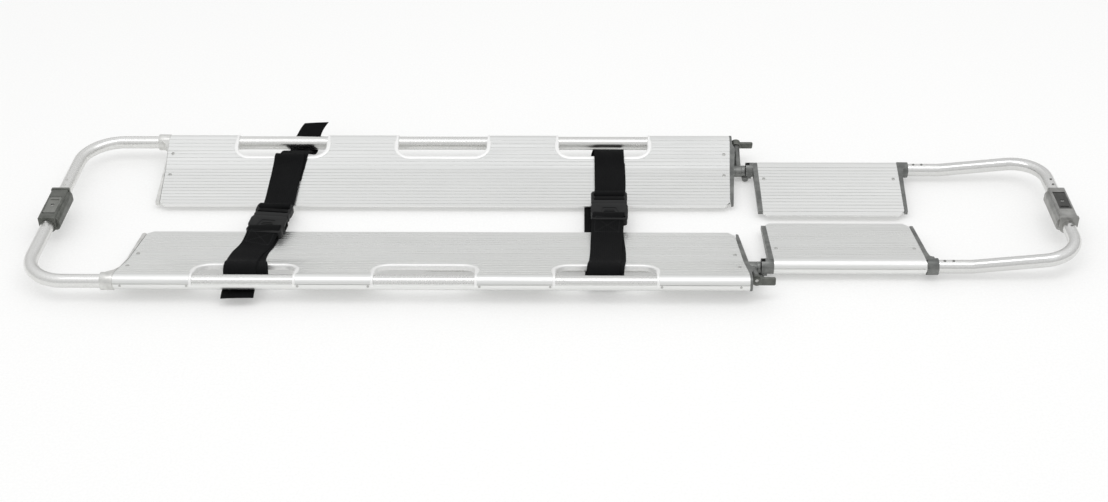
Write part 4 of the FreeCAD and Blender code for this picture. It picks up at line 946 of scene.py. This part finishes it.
def studio():
    """Pale floor, white surroundings that are dimmer low down, and one large soft lamp."""
    mesh = bpy.data.meshes.new("floor")
    corners = box_outline(-FLOOR_REACH, FLOOR_REACH, -FLOOR_REACH, FLOOR_REACH)
    mesh.from_pydata([(x, y, 0) for x, y in corners], [], [(0, 1, 2, 3)])
    floor = bpy.data.objects.new("floor", mesh)
    bpy.context.scene.collection.objects.link(floor)
    floor.location.z = -FLOOR_DROP * MM
    paper = Shader("floor_paper", Metallic=0.0)
    fibre = paper.noise((260.0, 260.0, 260.0), 3.0)
    colour = paper.blend(paper.between(fibre, 0.0, 1.0), (0.60, 0.60, 0.595), (0.64, 0.64, 0.635))
    paper.surface.inputs["Emission Color"].default_value = (1.0, 1.0, 0.99, 1.0)
    paper.surface.inputs["Emission Strength"].default_value = FLOOR_GLOW
    mesh.materials.append(paper.finish(Base_Color=colour,
                                       Roughness=paper.between(fibre, 0.6, 0.8)))

    world = bpy.data.worlds.new("studio")
    bpy.context.scene.world = world
    world.use_nodes = True
    tree = world.node_tree
    sky = tree.nodes["Background"]
    where = tree.nodes.new("ShaderNodeTexCoord")
    split = tree.nodes.new("ShaderNodeSeparateXYZ")
    ramp = tree.nodes.new("ShaderNodeValToRGB")
    tree.links.new(where.outputs["Generated"], split.inputs[0])
    tree.links.new(split.outputs["Z"], ramp.inputs["Fac"])
    tree.links.new(ramp.outputs["Color"], sky.inputs["Color"])

    def eased(value, start, end, low, high):
        """A number that eases from low to high as the value goes from start to end."""
        ease = tree.nodes.new("ShaderNodeMapRange")
        ease.interpolation_type = "SMOOTHSTEP"
        tree.links.new(value, ease.inputs["Value"])
        for socket, number in (("From Min", start), ("From Max", end),
                               ("To Min", low), ("To Max", high)):
            ease.inputs[socket].default_value = number
        return ease.outputs["Result"]

    def calculated(operation, first, second=0.0):
        """The result of a Math node in the world's own tree."""
        made = tree.nodes.new("ShaderNodeMath")
        made.operation = operation
        for socket, value in zip(made.inputs, (first, second)):
            if isinstance(value, bpy.types.NodeSocket):
                tree.links.new(value, socket)
            else:
                socket.default_value = value
        return made.outputs[0]

    # Overhead, the middle is a little dimmer than the two ends.
    sideways = calculated("ABSOLUTE", calculated("ADD", split.outputs["X"], -0.01))
    dip = calculated("MULTIPLY", eased(sideways, 0.03, 0.22, 0.24, 0.0),
                     eased(split.outputs["Z"], 0.52, 0.74, 0.0, 1.0))
    tree.links.new(calculated("SUBTRACT", 1.0, dip), sky.inputs["Strength"])
    stops = ramp.color_ramp.elements
    stops[0].position, stops[0].color = 0.0, SKY_LOW
    stops[1].position, stops[1].color = 1.0, SKY_HIGH
    for position, level in SKY_STEPS:
        stop = stops.new(position)
        stop.color = (level, level, level * 1.003, 1)

    lamp = bpy.data.lights.new("overhead", "AREA")
    lamp.shape = "RECTANGLE"
    lamp.size, lamp.size_y = LAMP_SIZE
    lamp.energy = LAMP_POWER
    item = bpy.data.objects.new("overhead", lamp)
    bpy.context.scene.collection.objects.link(item)
    item.location = LAMP_PLACE
    item.rotation_mode = "QUATERNION"
    item.rotation_quaternion = (-item.location).to_track_quat("-Z", "Y")


CAMERA_PLACE = (0.0383, -2.1509, 1.4701)
CAMERA_TURN = (35.32, -1.11, 0.49)      # degrees down, to the right and of roll
LENS, SENSOR = 50.19, 36.0


def camera():
    """Camera above the right side, looking down across the stretcher."""
    pitch, yaw, roll = (math.radians(angle) for angle in CAMERA_TURN)
    ahead = Vector((math.sin(yaw) * math.cos(pitch), math.cos(yaw) * math.cos(pitch),
                    -math.sin(pitch)))
    right = Vector((math.cos(yaw), -math.sin(yaw), 0))
    down = ahead.cross(right)
    across = right * math.cos(roll) + down * math.sin(roll)
    below = down * math.cos(roll) - right * math.sin(roll)
    turn = Matrix((across, -below, -ahead)).transposed()
    data = bpy.data.cameras.new("camera")
    data.lens = LENS
    data.sensor_width = SENSOR
    item = bpy.data.objects.new("camera", data)
    bpy.context.scene.collection.objects.link(item)
    item.location = CAMERA_PLACE
    item.rotation_mode = "QUATERNION"
    item.rotation_quaternion = turn.to_quaternion()
    bpy.context.scene.camera = item
    bpy.context.scene.view_settings.view_transform = "Standard"


dress_frame()
for cad_name in nodes:
    if any(key in cad_name for key in SOFTENED):
        soften(cad_name)
for half_name in SIDES:
    edging(half_name)
fasteners()
straps()
buckles()
studio()
camera()
